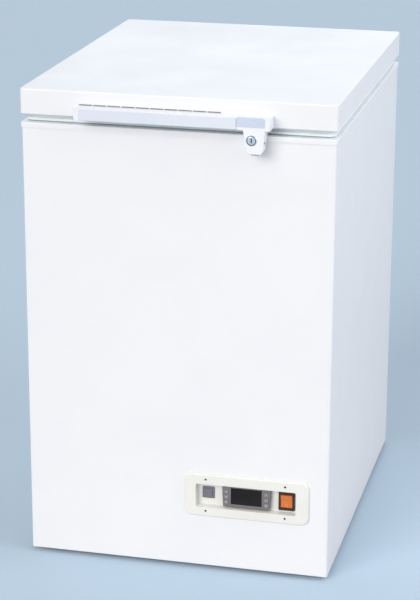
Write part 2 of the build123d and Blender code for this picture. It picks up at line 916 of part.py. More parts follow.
def fan_shroud():
    """Box in front of the condenser with a round collar for the fan and a three-armed motor bracket."""
    hood = front_block(condenser_width, condenser_height, fan_x, fan_z, condenser_front, shroud_front)
    hollow = front_block(condenser_width - 2 * shroud_sheet, condenser_height - 2 * shroud_sheet, fan_x,
                         fan_z, condenser_front + sheet, shroud_front + shroud_sheet)
    collar_radius = fan_radius + fan_tip_gap
    collar = front_cylinder(collar_radius + shroud_sheet, fan_x, fan_z, shroud_front + collar_depth,
                            shroud_front)
    bore = front_cylinder(collar_radius, fan_x, fan_z, condenser_front, shroud_front - sheet)
    shroud = hood - hollow + collar - bore
    plate_back = shroud_front - motor_gap
    arms = front_cylinder(bracket_hub, fan_x, fan_z, plate_back, bracket_front)
    reach = collar_radius + bracket_reach
    for index in range(bracket_arms):
        angle = 90 + 360 / bracket_arms * index
        x, z = around_fan(reach / 2, angle)
        arm = Pos(x, z) * Rot(0, 0, angle) * Rectangle(reach, bracket_arm)
        arms = arms + extrude(upright(plate_back) * arm, bracket_sheet)
        x, z = around_fan(reach - bracket_arm / 2, angle)
        arms = arms + front_block(bracket_pad, bracket_pad, x, z, shroud_front, plate_back)
    shaft_hole = front_cylinder(fan_shaft_radius + sheet, fan_x, fan_z, plate_back + sheet,
                                bracket_front - sheet)
    return shroud + (arms - shaft_hole)


def fan_motor():
    """Round motor on the bracket, with cooling ribs and a blind bore for the shaft."""
    body = front_cylinder(motor_radius, fan_x, fan_z, bracket_front, bracket_front - motor_length)
    body = fillet(front_edges(body), motor_round)
    for index in range(motor_ribs):
        rib = Pos(motor_radius, 0) * Rectangle(2 * motor_rib_height, motor_rib_width)
        turned = Pos(fan_x, fan_z) * Rot(0, 0, 360 / motor_ribs * index) * rib
        body = body + extrude(upright(bracket_front - motor_rib_inset) * turned,
                              motor_length - 2 * motor_rib_inset - motor_round)
    bore = front_cylinder(fan_shaft_radius + fit_gap, fan_x, fan_z, bracket_front + sheet,
                          bracket_front - motor_length * 0.6)
    return body - bore


def blade_section(radius, chord, pitch):
    """Four corners of a blade's cross-section at a radius, in the fan's own frame."""
    turn = math.radians(pitch)
    along = (chord / 2 * math.cos(turn), chord / 2 * math.sin(turn))
    across = (fan_blade_thickness / 2 * math.sin(turn), -fan_blade_thickness / 2 * math.cos(turn))
    corners = [(radius, end * along[0] + end * side * across[0], end * along[1] + end * side * across[1])
               for end, side in ((-1, 1), (-1, -1), (1, 1), (1, -1))]
    return make_face(Polyline(*corners, close=True))


def fan_blades():
    """Pressed fan: a hub on its shaft, and blades that twist from hub to tip."""
    middle = fan_back - fan_hub_length / 2
    wheel = fillet(top_edges(Cylinder(fan_hub_radius, fan_hub_length)), fan_hub_round)
    root = blade_section(fan_hub_radius - blade_overlap, blade_root_chord, blade_root_pitch)
    halfway = blade_section((fan_hub_radius + fan_radius) / 2, blade_middle_chord, blade_middle_pitch)
    tip = blade_section(fan_radius + fan_blade_thickness, blade_tip_chord, blade_tip_pitch)
    blade = loft([root, halfway, tip], ruled=True)
    for index in range(fan_blades_count):
        wheel = wheel + Rot(0, 0, 360 / fan_blades_count * index) * blade
    wheel = wheel & Cylinder(fan_radius, 3 * fan_hub_length)
    place = Plane(origin=(fan_x, middle, fan_z), x_dir=(1, 0, 0), z_dir=(0, 1, 0))
    shaft = front_cylinder(fan_shaft_radius, fan_x, fan_z, middle, bracket_front - motor_length * 0.5)
    return place * wheel + shaft


def filter_drier():
    """Copper drier, necked down at both ends."""
    neck = pipe_radius + stub_wall
    wide = drier_neck + drier_shoulder
    profile = outline((0, 0), (neck, 0), (neck, drier_neck), (drier_radius, wide),
                      (drier_radius, drier_length - wide), (neck, drier_length - drier_neck),
                      (neck, drier_length), (0, drier_length))
    return Pos(drier_x, drier_y, first_run + drier_rise) * revolve(Plane.XZ * profile, Axis.Z)


def discharge_line():
    """Hot gas pipe from the compressor to the condenser's top run."""
    start_x = compressor_x + compressor_radius + stub_length
    turn_x = start_x + discharge_turn
    points = [(start_x, compressor_y, port_height), (turn_x, compressor_y, port_height),
              (turn_x, compressor_y, last_run), (turn_x, condenser_middle, last_run),
              (condenser_left - condenser_tube_out, condenser_middle, last_run)]
    return tube_along(points, pipe_radius, pipe_bend)


def liquid_line():
    """Pipe from the condenser's bottom run to the drier."""
    points = [(condenser_left - condenser_tube_out, condenser_middle, first_run),
              (drier_x, condenser_middle, first_run), (drier_x, drier_y, first_run),
              (drier_x, drier_y, first_run + drier_rise)]
    return tube_along(points, pipe_radius, pipe_bend)


def capillary_tube():
    """Thin tube from the drier up into the insulation."""
    return cylinder_up(capillary_radius, drier_x, drier_y, first_run + drier_rise + drier_length,
                       deck_top + riser_end)


def suction_line():
    """Return pipe from the insulation down to the compressor."""
    points = [(suction_x, compressor_y, deck_top + riser_end), (suction_x, compressor_y, port_height),
              (suction_x + suction_foot, compressor_y, port_height)]
    return tube_along(points, pipe_radius, pipe_bend)


def electrics_box():
    """Closed box for the relays and terminals, on the base pan behind the control panel."""
    front = inner_front + relay_box_behind_front
    back = front + relay_box_length
    seam = pan_top + relay_box_height
    over = relay_lid_overlap
    box = plan_block(relay_box_width, front, back, pan_top, seam, 2 * over, panel_x)
    lid = plan_block(relay_box_width + 2 * over, front - over, back + over, seam, seam + relay_lid_thickness,
                     3 * over, panel_x)
    return box + lid


def inlet_hole():
    return front_block(inlet_width + fit_gap * 2, inlet_height + fit_gap * 2, inlet_x, inlet_z,
                       body_back + 3 * sheet, body_back - sheet)


def power_inlet():
    """Appliance inlet with a recess and three pins."""
    seat = body_back + sheet
    floor = seat - inlet_depth + 2 * inlet_wall
    flange = front_block(inlet_flange_width, inlet_flange_height, inlet_x, inlet_z,
                         seat + inlet_flange_thickness, seat, 2 * inlet_wall)
    body = front_block(inlet_width, inlet_height, inlet_x, inlet_z, seat, seat - inlet_depth)
    recess = front_block(inlet_width - 2 * inlet_wall, inlet_height - 2 * inlet_wall, inlet_x, inlet_z,
                         seat + 2 * inlet_flange_thickness, floor, inlet_wall)
    inlet = flange + body - recess
    pins = ((-inlet_pin_spacing, -inlet_pin_drop), (0, inlet_pin_rise), (inlet_pin_spacing, -inlet_pin_drop))
    for x, z in pins:
        inlet = inlet + front_block(inlet_pin_width, inlet_pin_height, inlet_x + x, inlet_z + z,
                                    seat - 2 * inlet_wall, floor)
    return inlet


# Control panel

def panel_screw_places():
    middle = panel_x - panel_screw_left
    return [(middle + sx * panel_screw_x / 2, panel_z + sz * panel_screw_z / 2)
            for sx in (-1, 1) for sz in (-1, 1)]


def control_bezel():
    """Moulded surround with a pillowed edge and a drafted recess for the controls."""
    front = body_front - panel_proud
    plate = front_block(panel_width, panel_height, panel_x, panel_z, body_front, front, panel_corner)
    plate = fillet(front_edges(plate), panel_pillow)
    tray = front_block(recess_width + 2 * tray_wall, recess_height + 2 * tray_wall, recess_x, recess_z,
                       recess_floor + tray_wall, body_front, recess_corner + tray_wall)
    mouth = RectangleRounded(recess_width, recess_height, recess_corner)
    recess = extrude(upright(front) * Pos(recess_x, recess_z) * mouth, -recess_depth, taper=recess_draft)
    bezel = plate + tray - recess
    holes = ((mute_body_size, mute_body_size, mute_x, mute_z),
             (controller_body_width, controller_body_height, controller_x, controller_z),
             (switch_body_width, switch_body_height, switch_x, switch_z))
    for width, height, x, z in holes:
        bezel = bezel - front_block(width, height, x, z, recess_floor + 2 * tray_wall, recess_floor - sheet)
    for x, z in panel_screw_places():
        bezel = bezel - front_cylinder(panel_screw_shank, x, z, body_front + sheet, front - sheet)
        bezel = bezel - front_cylinder(panel_screw_radius, x, z, front + panel_screw_seat, front - sheet)
    return bezel


def panel_screws():
    """Four dark screws sunk in the surround, into the wrapper."""
    front = body_front - panel_proud
    screws = []
    for x, z in panel_screw_places():
        head = front_cylinder(panel_screw_radius, x, z, front + panel_screw_seat, front + panel_screw_sunk)
        shank = front_cylinder(panel_screw_shank, x, z, body_front, front + panel_screw_seat)
        screws.append(head + shank)
    return group(screws)


def key_places():
    """Name, x and z of each key, in a column on either side of the display."""
    names = {-1: "left", 1: "right"}
    rows = {1: "top", 0: "middle", -1: "bottom"}
    return [(f"key_{names[side]}_{rows[row]}", controller_x + side * key_offset,
             controller_z + row * key_pitch) for side in (-1, 1) for row in (1, 0, -1)]


def controller_body():
    """Panel-mounted controller: a faceplate narrower at its foot, and the case behind it."""
    half = controller_width / 2
    low = half - controller_taper
    top = controller_z + controller_height / 2
    bottom = controller_z - controller_height / 2
    face = outline((controller_x - low, bottom), (controller_x + low, bottom), (controller_x + half, top),
                   (controller_x - half, top))
    plate = extrude(upright(recess_floor) * fillet(face.vertices(), faceplate_round), faceplate_depth)
    plate = chamfer(front_edges(plate), faceplate_bevel)
    case = front_block(controller_body_width, controller_body_height, controller_x, controller_z,
                       recess_floor + controller_body_depth, recess_floor)
    body = plate + case
    window = front_block(window_width, window_height, controller_x, controller_z + window_rise,
                         faceplate_front + window_thickness, faceplate_front - 1)
    body = body - window
    pocket = key_depth + key_travel + key_gap
    for name, x, z in key_places():
        body = body - front_block(key_width + 2 * key_gap, key_height + 2 * key_gap, x, z,
                                  faceplate_front + pocket, faceplate_front - 1, key_corner + key_gap)
    return body


def display_window():
    """Smoked window over the digits, set into the faceplate."""
    return front_block(window_width, window_height, controller_x, controller_z + window_rise,
                       faceplate_front + window_thickness, faceplate_front)


def key_cap(x, z):
    cap = front_block(key_width, key_height, x, z, faceplate_front + key_depth, faceplate_front - key_proud,
                      key_corner)
    return chamfer(front_edges(cap), key_bevel)


def button_guide():
    """Square frame and body of the mute button, with the well that the cap slides in."""
    frame = front_block(mute_frame_size, mute_frame_size, mute_x, mute_z, recess_floor, mute_frame_front,
                        mute_frame_round)
    frame = chamfer(front_edges(frame), mute_frame_bevel)
    body = front_block(mute_body_size, mute_body_size, mute_x, mute_z, recess_floor + mute_body_depth,
                       recess_floor)
    well_depth = mute_cap_length - mute_proud + mute_travel + key_gap
    well = front_block(mute_cap_size + 2 * key_gap, mute_cap_size + 2 * key_gap, mute_x, mute_z,
                       mute_frame_front + well_depth, mute_frame_front - 1)
    return frame + body - well


def mute_button():
    back = mute_frame_front - mute_proud + mute_cap_length
    cap = front_block(mute_cap_size, mute_cap_size, mute_x, mute_z, back, mute_frame_front - mute_proud)
    return fillet(front_edges(cap), mute_cap_round)


def switch_frame():
    """Frame and body of the power switch, with side holes for the rocker's pivots."""
    frame = front_block(switch_frame_width, switch_frame_height, switch_x, switch_z, recess_floor,
                        switch_front, switch_frame_round)
    frame = chamfer(front_edges(frame), switch_frame_bevel)
    body = front_block(switch_body_width, switch_body_height, switch_x, switch_z,
                       recess_floor + switch_body_depth, recess_floor)
    well = front_block(rocker_width + 2 * rocker_gap, rocker_height + 2 * rocker_gap, switch_x, switch_z,
                       rocker_pivot_y + rocker_well_depth, switch_front - 1)
    reach = rocker_width / 2 + rocker_gap + rocker_pivot_length + fit_gap
    pivots = cross_cylinder(rocker_pivot_radius + rocker_pivot_gap, rocker_pivot_y, switch_z,
                            switch_x - reach, switch_x + reach)
    return frame + body - well - pivots


def power_rocker():
    """Rocker with a hollowed face, tilted to its on position, with a pivot stub at each side."""
    half = rocker_height / 2 - rocker_pivot_gap - rocker_gap
    y = rocker_pivot_y
    z = switch_z
    edge = y - rocker_edge_proud
    side = y - rocker_side_depth
    back = y + rocker_back_depth
    profile = outline((edge, z - half), (y - rocker_middle_proud, z), (edge, z + half), (side, z + half),
                      (back, z + rocker_back_half), (back, z - rocker_back_half), (side, z - half))
    wide = rocker_width / 2
    rocker = extrude(side_plane(switch_x - wide) * profile, rocker_width)
    reach = wide + rocker_gap + rocker_pivot_length
    stubs = cross_cylinder(rocker_pivot_radius, y, z, switch_x - reach, switch_x + reach)
    return (rocker + stubs).rotate(Axis((switch_x, y, z), (1, 0, 0)), rocker_tilt)


# Lid

def lid_skin():
    """Painted pan: top and four sides, with a return flange under the edge."""
    outer = plan_block(freezer_width, lid_front, lid_back, lid_bottom, freezer_height,
                       corner_radius + rim_overhang)
    outer = fillet(top_edges(outer), lid_edge_radius)
    wall = lid_sheet
    inner = plan_block(freezer_width - 2 * wall, lid_front + wall, lid_back - wall, lid_bottom + wall,
                       freezer_height - wall, corner_radius + rim_overhang - wall)
    inner = fillet(top_edges(inner), lid_edge_radius - wall)
    opening = plan_block(freezer_width - 2 * lid_return, lid_front + lid_return, lid_back - lid_return,
                         lid_bottom - wall, lid_bottom + 2 * wall, corner_radius)
    return outer - inner - opening


def plug_form(wall, low, high):
    """The lid's plug, drafted towards its foot, set in by a wall."""
    top_width = chamber_width - 2 * plug_clearance - 2 * wall
    top_length = chamber_length - 2 * plug_clearance - 2 * wall
    radius = chamber_corner - plug_clearance - wall
    foot = RectangleRounded(top_width - 2 * plug_draft, top_length - 2 * plug_draft, radius - plug_draft)
    head = RectangleRounded(top_width, top_length, radius)
    middle = Pos(0, cabinet_y)
    return loft([Plane.XY.offset(low) * middle * foot, Plane.XY.offset(high) * middle * head])


def lid_liner():
    """Moulded inner face: a flat flange under the lid and a plug that fills the chamber's mouth."""
    flange = plan_block(freezer_width - 2 * liner_inset, lid_front + liner_inset, lid_back - liner_inset,
                        liner_bottom, lid_bottom, corner_radius)
    hollow = plug_form(liner_wall, plug_bottom + liner_wall, lid_bottom)
    return flange + plug_form(0, plug_bottom, liner_bottom) - hollow


def lid_foam():
    """Insulation inside the lid and its plug."""
    wall = lid_sheet + fit_gap
    block = plan_block(freezer_width - 2 * wall, lid_front + wall, lid_back - wall, lid_bottom + lid_sheet,
                       freezer_height - wall, corner_radius + rim_overhang - wall)
    block = fillet(top_edges(block), lid_edge_radius - lid_sheet)
    step = plan_block(freezer_width - 2 * lid_return, lid_front + lid_return, lid_back - lid_return,
                      lid_bottom, lid_bottom + lid_sheet, corner_radius)
    plug = plug_form(liner_wall + fit_gap, plug_bottom + liner_wall, lid_bottom)
    return block + step + plug


def gasket_ring(inset, width, low, high, radius):
    """A closed ring with its outer edge set in from the lid, more at the front and back than at the sides."""
    side = gasket_side_inset + inset
    end = gasket_front_inset + inset
    outer = plan_block(freezer_width - 2 * side, lid_front + end, lid_back - end, low, high, radius)
    inner = plan_block(freezer_width - 2 * side - 2 * width, lid_front + end + width, lid_back - end - width,
                       low, high, radius - width / 2)
    return outer - inner


def lid_gasket():
    """Seal under the lid: a root against the liner, a bellows neck and a magnet bulb over the rim."""
    low = rim_top + gasket_seat_gap
    height = liner_bottom - low
    bulb_top = low + height * gasket_bulb_share
    root_bottom = liner_bottom - height * gasket_root_share
    root = gasket_ring(0, gasket_width, root_bottom, liner_bottom, gasket_corner)
    neck = gasket_ring((gasket_width - gasket_neck) / 2, gasket_neck, bulb_top, liner_bottom,
                       gasket_neck_corner)
    bulb = gasket_ring(0, gasket_width, low, bulb_top, gasket_corner)
    return root + neck + bulb


# Hinges

def hinge_parts(station):
    """Where each piece of one hinge starts along X, from its outer bracket knuckle inwards."""
    total = 2 * knuckle_width + spring_space + leaf_knuckle_width + 3 * hinge_play
    start = station - total / 2
    spring = start + knuckle_width + hinge_play
    leaf = spring + spring_space + hinge_play
    last = leaf + leaf_knuckle_width + hinge_play
    return start, spring, leaf, last, last + knuckle_width


def stations():
    return (-hinge_spacing / 2, hinge_spacing / 2)


def knuckle(left, width, web):
    """A hinge barrel with a web to its plate."""
    barrel = Pos(hinge_y, hinge_z) * Circle(knuckle_radius)
    body = extrude(side_plane(left) * (barrel + outline(*web)), width)
    return body - cross_cylinder(pin_radius + pin_clearance, hinge_y, hinge_z, left - 1, left + width + 1)


def spring_cup(left, right):
    radius = spring_mean_radius + spring_wire / 2 + spring_cup_gap
    return cross_cylinder(radius, hinge_y, hinge_z, left, right)


def bracket_screw_places():
    places = []
    for station in stations():
        start, spring, leaf, last, end = hinge_parts(station)
        for x in (start + hinge_screw_inset, end - hinge_screw_inset):
            for z in (rim_bottom - bracket_height + bracket_screw_rise, rim_bottom - bracket_screw_drop):
                places.append((x, z))
    return places


def hinge_brackets():
    """Plates on the cabinet's back, each with two knuckles."""
    outer_face = inner_back + leaf_thickness
    low = rim_bottom - bracket_height
    web = [(outer_face, rim_bottom - 2 * knuckle_radius), (outer_face, rim_bottom - sheet),
           (hinge_y - knuckle_radius, hinge_z), (hinge_y, hinge_z),
           (hinge_y + knuckle_radius * 0.6, hinge_z - knuckle_radius * 0.8)]
    pieces = []
    for station in stations():
        start, spring, leaf, last, end = hinge_parts(station)
        middle = (start + end) / 2
        tall = bracket_height - sheet
        plate = front_block(end - start, tall, middle, low + tall / 2, outer_face, inner_back)
        piece = plate + knuckle(start, knuckle_width, web) + knuckle(last, knuckle_width, web)
        piece = piece - spring_cup(start + knuckle_width - spring_cup_depth, start + knuckle_width + 1)
        pieces.append(piece)
    for x, z in bracket_screw_places():
        hole = front_cylinder(screw_shank + fit_gap, x, z, outer_face + 1, inner_back - 1)
        pieces = [piece - hole for piece in pieces]
    return group(pieces)


def leaf_screw_places():
    places = []
    for station in stations():
        start, spring, leaf, last, end = hinge_parts(station)
        z = lid_bottom + leaf_rise + leaf_height - leaf_screw_drop
        places += [(x, z) for x in (start + hinge_screw_inset, end - hinge_screw_inset)]
    return places


def hinge_leaves():
    """Plates on the lid's back, each with one knuckle between the bracket's two."""
    outer_face = lid_back + leaf_thickness
    low = lid_bottom + leaf_rise
    web = [(outer_face, low + 0.2 * knuckle_radius), (outer_face, low + 2 * knuckle_radius),
           (hinge_y + knuckle_radius * 0.8, hinge_z + knuckle_radius * 0.6), (hinge_y, hinge_z),
           (hinge_y - knuckle_radius, hinge_z)]
    pieces = []
    for station in stations():
        start, spring, leaf, last, end = hinge_parts(station)
        plate = front_block(end - start, leaf_height, (start + end) / 2, low + leaf_height / 2, outer_face,
                            lid_back)
        piece = plate + knuckle(leaf, leaf_knuckle_width, web)
        piece = piece - spring_cup(leaf - 1, leaf + spring_cup_depth)
        pieces.append(piece)
    for x, z in leaf_screw_places():
        hole = front_cylinder(screw_shank + fit_gap, x, z, outer_face + 1, lid_back - 1)
        pieces = [piece - hole for piece in pieces]
    return group(pieces)


def leaf_screws():
    seat = lid_back + leaf_thickness
    return group([back_screw(x, z, seat, leaf_thickness) for x, z in leaf_screw_places()])


def hinge_pins():
    """Pins through the knuckles, with a head at the outer end."""
    pins = []
    for station in stations():
        start, *_, end = hinge_parts(station)
        pin = cross_cylinder(pin_radius, hinge_y, hinge_z, start, end + pin_end)
        head = cross_cylinder(pin_radius + pin_head, hinge_y, hinge_z, start - pin_head_length, start)
        pins.append(pin + head)
    return group(pins)


def hinge_springs():
    """Counterbalance springs of square wire, coiled round each pin between the cups of two knuckles."""
    springs = []
    for station in stations():
        spring, leaf = hinge_parts(station)[1:3]
        left = spring - hinge_play - spring_cup_depth + spring_wire / 2 + spring_end_gap
        right = leaf + spring_cup_depth - spring_wire / 2 - spring_end_gap
        path = Helix((right - left) / spring_turns, right - left, spring_mean_radius,
                     center=(left, hinge_y, hinge_z), direction=(1, 0, 0))
        wire = Plane(path @ 0, x_dir=(1, 0, 0), z_dir=path % 0) * Rectangle(spring_wire, spring_wire)
        springs.append(sweep(wire, path=path))
    return group(springs)


# Handle and lock

def handle_body():
    """Bar along the lid's front: a downward-open channel with closed ends, for the fingers."""
    front = handle_front + strip_thickness
    bar = outline((front, lid_bottom), (lid_front, lid_bottom), (lid_front, handle_top), (front, handle_top))
    bar = extrude(side_plane(handle_left) * bar, lock_left - handle_left)
    top_front = bar.edges().filter_by(Axis.X).sort_by(Axis.Z)[-2:].sort_by(Axis.Y)[0]
    bar = fillet(top_front, handle_round)
    pocket_left = handle_left + handle_cap
    pocket_right = lock_left - handle_wall
    pocket = plan_block(pocket_right - pocket_left, front + handle_wall, lid_front - handle_wall,
                        lid_bottom - sheet, handle_top - handle_wall, middle=(pocket_left + pocket_right) / 2)
    cap = plan_block(handle_cap, handle_front, lid_front, lid_bottom, handle_top,
                     middle=handle_left + handle_cap / 2)
    cap = fillet(front_edges(cap).filter_by(Axis.Z).sort_by(Axis.X)[0], handle_cap_round)
    return bar - pocket + cap


def grip_strip():
    """Grey strip on the front of the bar, between the end cap and the lock."""
    left = handle_left + handle_cap
    right = lock_left - strip_lock_gap
    tall = handle_height - 2 * strip_inset
    strip = front_block(right - left, tall, (left + right) / 2, lid_bottom + handle_height / 2,
                        handle_front + strip_thickness, handle_front)
    return chamfer(front_edges(strip), strip_bevel)


def tongue_sides(wall=0.0):
    """Left and right side of the lock's tongue, at its head and at its foot, set in by a wall."""
    head = (barrel_x - tongue_left + wall, barrel_x + tongue_right - wall)
    return head, (head[0] + tongue_taper_left, head[1] - tongue_taper_right)


def lock_housing():
    """Right end of the handle with the tongue that hangs in front of the rim and holds the lock."""
    back = lid_front - tongue_back_gap
    foot_z = lid_bottom - tongue_length
    head, foot = tongue_sides()
    shoulder = lid_bottom + lock_block_bottom
    face = outline((foot[0], foot_z), (foot[1], foot_z), (head[1], shoulder), (head[0], shoulder))
    face = fillet(face.vertices().group_by(Axis.Y)[0], tongue_round)
    tongue = extrude(upright(back) * face, back - handle_front)
    tongue = fillet(front_edges(tongue).sort_by(Axis.Z)[0:3], tongue_edge)
    end_block = plan_block(handle_right - lock_left, handle_front, lid_front, lid_bottom, handle_top,
                           middle=(lock_left + handle_right) / 2)
    end_block = fillet(front_edges(end_block).filter_by(Axis.Z).sort_by(Axis.X)[-1], lock_end_round)
    return end_block + tongue - tongue_hollow() - lock_block_seat() - barrel_bore()


def tongue_hollow():
    """Room for the cam and the keeper inside the tongue, open at its foot and towards the rim."""
    below = lid_bottom - tongue_length - sheet
    ceiling = handle_top - tongue_wall
    head, foot = tongue_sides(tongue_wall)
    shape = outline((foot[0], below), (foot[1], below), (head[1], lid_bottom), (head[1], ceiling),
                    (head[0], ceiling), (head[0], lid_bottom))
    back = lid_front - tongue_wall
    channel = extrude(upright(back) * shape, barrel_back + sheet - tongue_wall)
    open_back = plan_block(foot[1] - foot[0], back, lid_front + sheet, below, lid_bottom,
                           middle=(foot[0] + foot[1]) / 2)
    return channel + open_back


def barrel_bore():
    return front_cylinder(barrel_radius + barrel_clearance, barrel_x, barrel_z, lid_front,
                          handle_front - sheet)


def lock_block_seat():
    """Step in the housing that the coloured block sits in."""
    return plan_block(lock_block_right - lock_left, handle_front - sheet, handle_front + lock_block_thickness,
                      lid_bottom + lock_block_bottom, handle_top + sheet,
                      middle=(lock_left + lock_block_right) / 2)


def lock_block():
    """Blue-grey block over the lock's end of the handle, with one rounded corner."""
    high = handle_top + lock_block_rise
    low = lid_bottom + lock_block_bottom
    block = front_block(lock_block_right - lock_left, high - low, (lock_left + lock_block_right) / 2,
                        (low + high) / 2, handle_front + lock_block_thickness,
                        handle_front - lock_block_proud)
    corner = block.edges().filter_by(Axis.Y).group_by(Axis.Z)[-1].sort_by(Axis.X)[-1]
    block = fillet(corner, lock_block_round)
    return chamfer(front_edges(block), lock_block_bevel)


def lock_barrel():
    """Cylinder lock with a rim, a keyway and a square tail for the cam."""
    front = handle_front - barrel_flange
    back = lid_front - barrel_back
    rim = front_cylinder(barrel_flange_radius, barrel_x, barrel_z, handle_front, front)
    rim = chamfer(front_edges(rim), barrel_bevel)
    body = front_cylinder(barrel_radius, barrel_x, barrel_z, back, handle_front)
    tail = front_block(barrel_tail, barrel_tail, barrel_x, barrel_z, back + cam_thickness, back)
    keyway = front_block(keyway_width, keyway_height, barrel_x, barrel_z, handle_front + keyway_depth,
                         front - sheet)
    return rim + body + tail - keyway


def lock_cam():
    """Cam plate on the barrel's tail. It hangs down when unlocked and turns up under the keeper's lip."""
    front = lid_front - barrel_back
    back = front + cam_thickness
    tip = cam_width / 2
    plate = Pos(barrel_x, barrel_z) * Circle(cam_width * 0.75)
    plate = plate + Pos(barrel_x, barrel_z - (cam_reach - tip) / 2) * Rectangle(cam_width, cam_reach - tip)
    plate = plate + Pos(barrel_x, barrel_z - cam_reach + tip) * Circle(tip)
    cam = extrude(upright(back) * plate, cam_thickness)
    return cam - front_block(barrel_tail, barrel_tail, barrel_x, barrel_z, back + sheet, front - sheet)


def lock_keeper():
    """Bent plate on the front: a base under the tongue, a riser past the rim and a lip for the cam."""
    t = keeper_sheet
    left = barrel_x - keeper_left
    right = barrel_x + keeper_right
    base_low = rim_bottom - keeper_base_drop
    riser_back = lid_front - keeper_riser_gap
    lip_low = barrel_z + cam_width / 2 + keeper_lip_gap
    lip_top = lip_low + t
    lip_front = lid_front - barrel_back + keeper_front_gap
    low_bend = rim_bottom - keeper_bend_drop
    high_bend = low_bend + keeper_bend_rise
    bend = outline((body_front, base_low), (body_front, low_bend), (riser_back, high_bend),
                   (riser_back, lip_top), (riser_back - t, lip_top), (riser_back - t, high_bend - t / 2),
                   (body_front - t, low_bend - t / 2), (body_front - t, base_low))
    keeper = extrude(side_plane(left) * bend, right - left)
    base_left = barrel_x - keeper_base_left
    base = front_block(right - base_left, keeper_base_height, (right + base_left) / 2,
                       base_low + keeper_base_height / 2, body_front, body_front - t, keeper_base_round)
    lip_left = barrel_x + keeper_lip_start
    lip = plan_block(right - lip_left, lip_front, riser_back, lip_low, lip_top, middle=(right + lip_left) / 2)
    return keeper + base + lip


def build():
    nodes = [cabinet_shell, back_panel, rear_grille, body_screws, base_pan, feet, machine_deck, top_rim,
             breaker_strip, inner_tank, evaporator_coil, cabinet_foam, temperature_probe, port_sleeve,
             port_plug, compressor, compressor_grommets, terminal_cover, condenser_fins, condenser_tube,
             fan_shroud, fan_motor, fan_blades, filter_drier, discharge_line, liquid_line, capillary_tube,
             suction_line, electrics_box, power_inlet, control_bezel, panel_screws, controller_body,
             display_window, button_guide, mute_button, switch_frame, power_rocker, lid_skin, lid_foam,
             lid_liner, lid_gasket, hinge_brackets, hinge_leaves, leaf_screws, hinge_pins, hinge_springs,
             handle_body, grip_strip, lock_housing, lock_block, lock_barrel, lock_cam, lock_keeper]
    for node in nodes:
        save(node.__name__, node())
    for name, x, z in key_places():
        save(name, key_cap(x, z))


build()
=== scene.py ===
import bpy
import bmesh
import json
import math
from mathutils import Matrix, Vector


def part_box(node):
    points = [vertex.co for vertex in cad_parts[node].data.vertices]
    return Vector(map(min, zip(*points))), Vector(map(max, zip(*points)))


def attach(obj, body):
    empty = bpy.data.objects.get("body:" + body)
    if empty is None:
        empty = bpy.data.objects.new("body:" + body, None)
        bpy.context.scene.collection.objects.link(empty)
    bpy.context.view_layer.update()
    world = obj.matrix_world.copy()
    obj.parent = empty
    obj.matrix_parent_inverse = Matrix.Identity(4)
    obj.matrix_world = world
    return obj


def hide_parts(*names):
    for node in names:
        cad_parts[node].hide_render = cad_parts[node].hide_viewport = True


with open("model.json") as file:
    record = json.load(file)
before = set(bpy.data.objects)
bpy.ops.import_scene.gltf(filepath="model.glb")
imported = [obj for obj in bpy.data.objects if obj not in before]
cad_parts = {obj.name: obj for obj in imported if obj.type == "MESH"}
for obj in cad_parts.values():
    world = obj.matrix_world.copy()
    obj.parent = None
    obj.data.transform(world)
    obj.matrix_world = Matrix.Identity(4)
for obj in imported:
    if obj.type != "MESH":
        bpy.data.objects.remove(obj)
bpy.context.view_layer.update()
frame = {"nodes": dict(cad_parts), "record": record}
cadNodes = frame["nodes"]
print("frame loaded with", len(cadNodes), "nodes")


def linear(red, green, blue):
    # screen values from 0 to 255 as the linear colour that nodes take
    def channel(value):
        value = value / 255
        return value / 12.92 if value <= 0.04045 else ((value + 0.055) / 1.055) ** 2.4
    return (channel(red), channel(green), channel(blue), 1.0)


# Shared effects, each a node group with named sockets

def newGroup(name, inputs, outputs):
    tree = bpy.data.node_groups.new(name, "ShaderNodeTree")
    kinds = {"value": "NodeSocketFloat", "colour": "NodeSocketColor", "vector": "NodeSocketVector"}
    for label, kind, default in inputs:
        socket = tree.interface.new_socket(name=label, in_out="INPUT", socket_type=kinds[kind])
        socket.default_value = default
    for label, kind in outputs:
        tree.interface.new_socket(name=label, in_out="OUTPUT", socket_type=kinds[kind])
    return tree, tree.nodes.new("NodeGroupInput"), tree.nodes.new("NodeGroupOutput")


def addNode(tree, kind, links=(), **settings):
    # links are (socket of the new node, value or source socket)
    node = tree.nodes.new(kind)
    for key, value in settings.items():
        setattr(node, key, value)
    for socket, source in links:
        if isinstance(source, bpy.types.NodeSocket):
            tree.links.new(source, node.inputs[socket])
        else:
            node.inputs[socket].default_value = source
    return node


def mathNode(tree, operation, first, second=0.0, clamp=False):
    node = addNode(tree, "ShaderNodeMath", [(0, first), (1, second)], operation=operation, use_clamp=clamp)
    return node.outputs[0]


def spread(tree, value, fromLow, fromHigh, toLow, toHigh):
    node = addNode(tree, "ShaderNodeMapRange", [("Value", value), ("From Min", fromLow),
                                                ("From Max", fromHigh), ("To Min", toLow),
                                                ("To Max", toHigh)])
    return node.outputs["Result"]


def blendColour(tree, factor, first, second):
    node = addNode(tree, "ShaderNodeMix", data_type="RGBA")
    for socket, source in ((node.inputs[0], factor), (node.inputs[6], first), (node.inputs[7], second)):
        if isinstance(source, bpy.types.NodeSocket):
            tree.links.new(source, socket)
        else:
            socket.default_value = source
    return node.outputs[2]


def stretchedCoordinates(tree, source):
    place = addNode(tree, "ShaderNodeTexCoord")
    scaled = addNode(tree, "ShaderNodeVectorMath", [(0, place.outputs["Object"]),
                                                    (1, source.outputs["Stretch"])], operation="MULTIPLY")
    return scaled.outputs[0]


def putMask(tree, mask, source, result):
    # a mask leaves its group times the group's Amount
    scaled = mathNode(tree, "MULTIPLY", mask, source.outputs["Amount"], clamp=True)
    tree.links.new(scaled, result.inputs["Mask"])


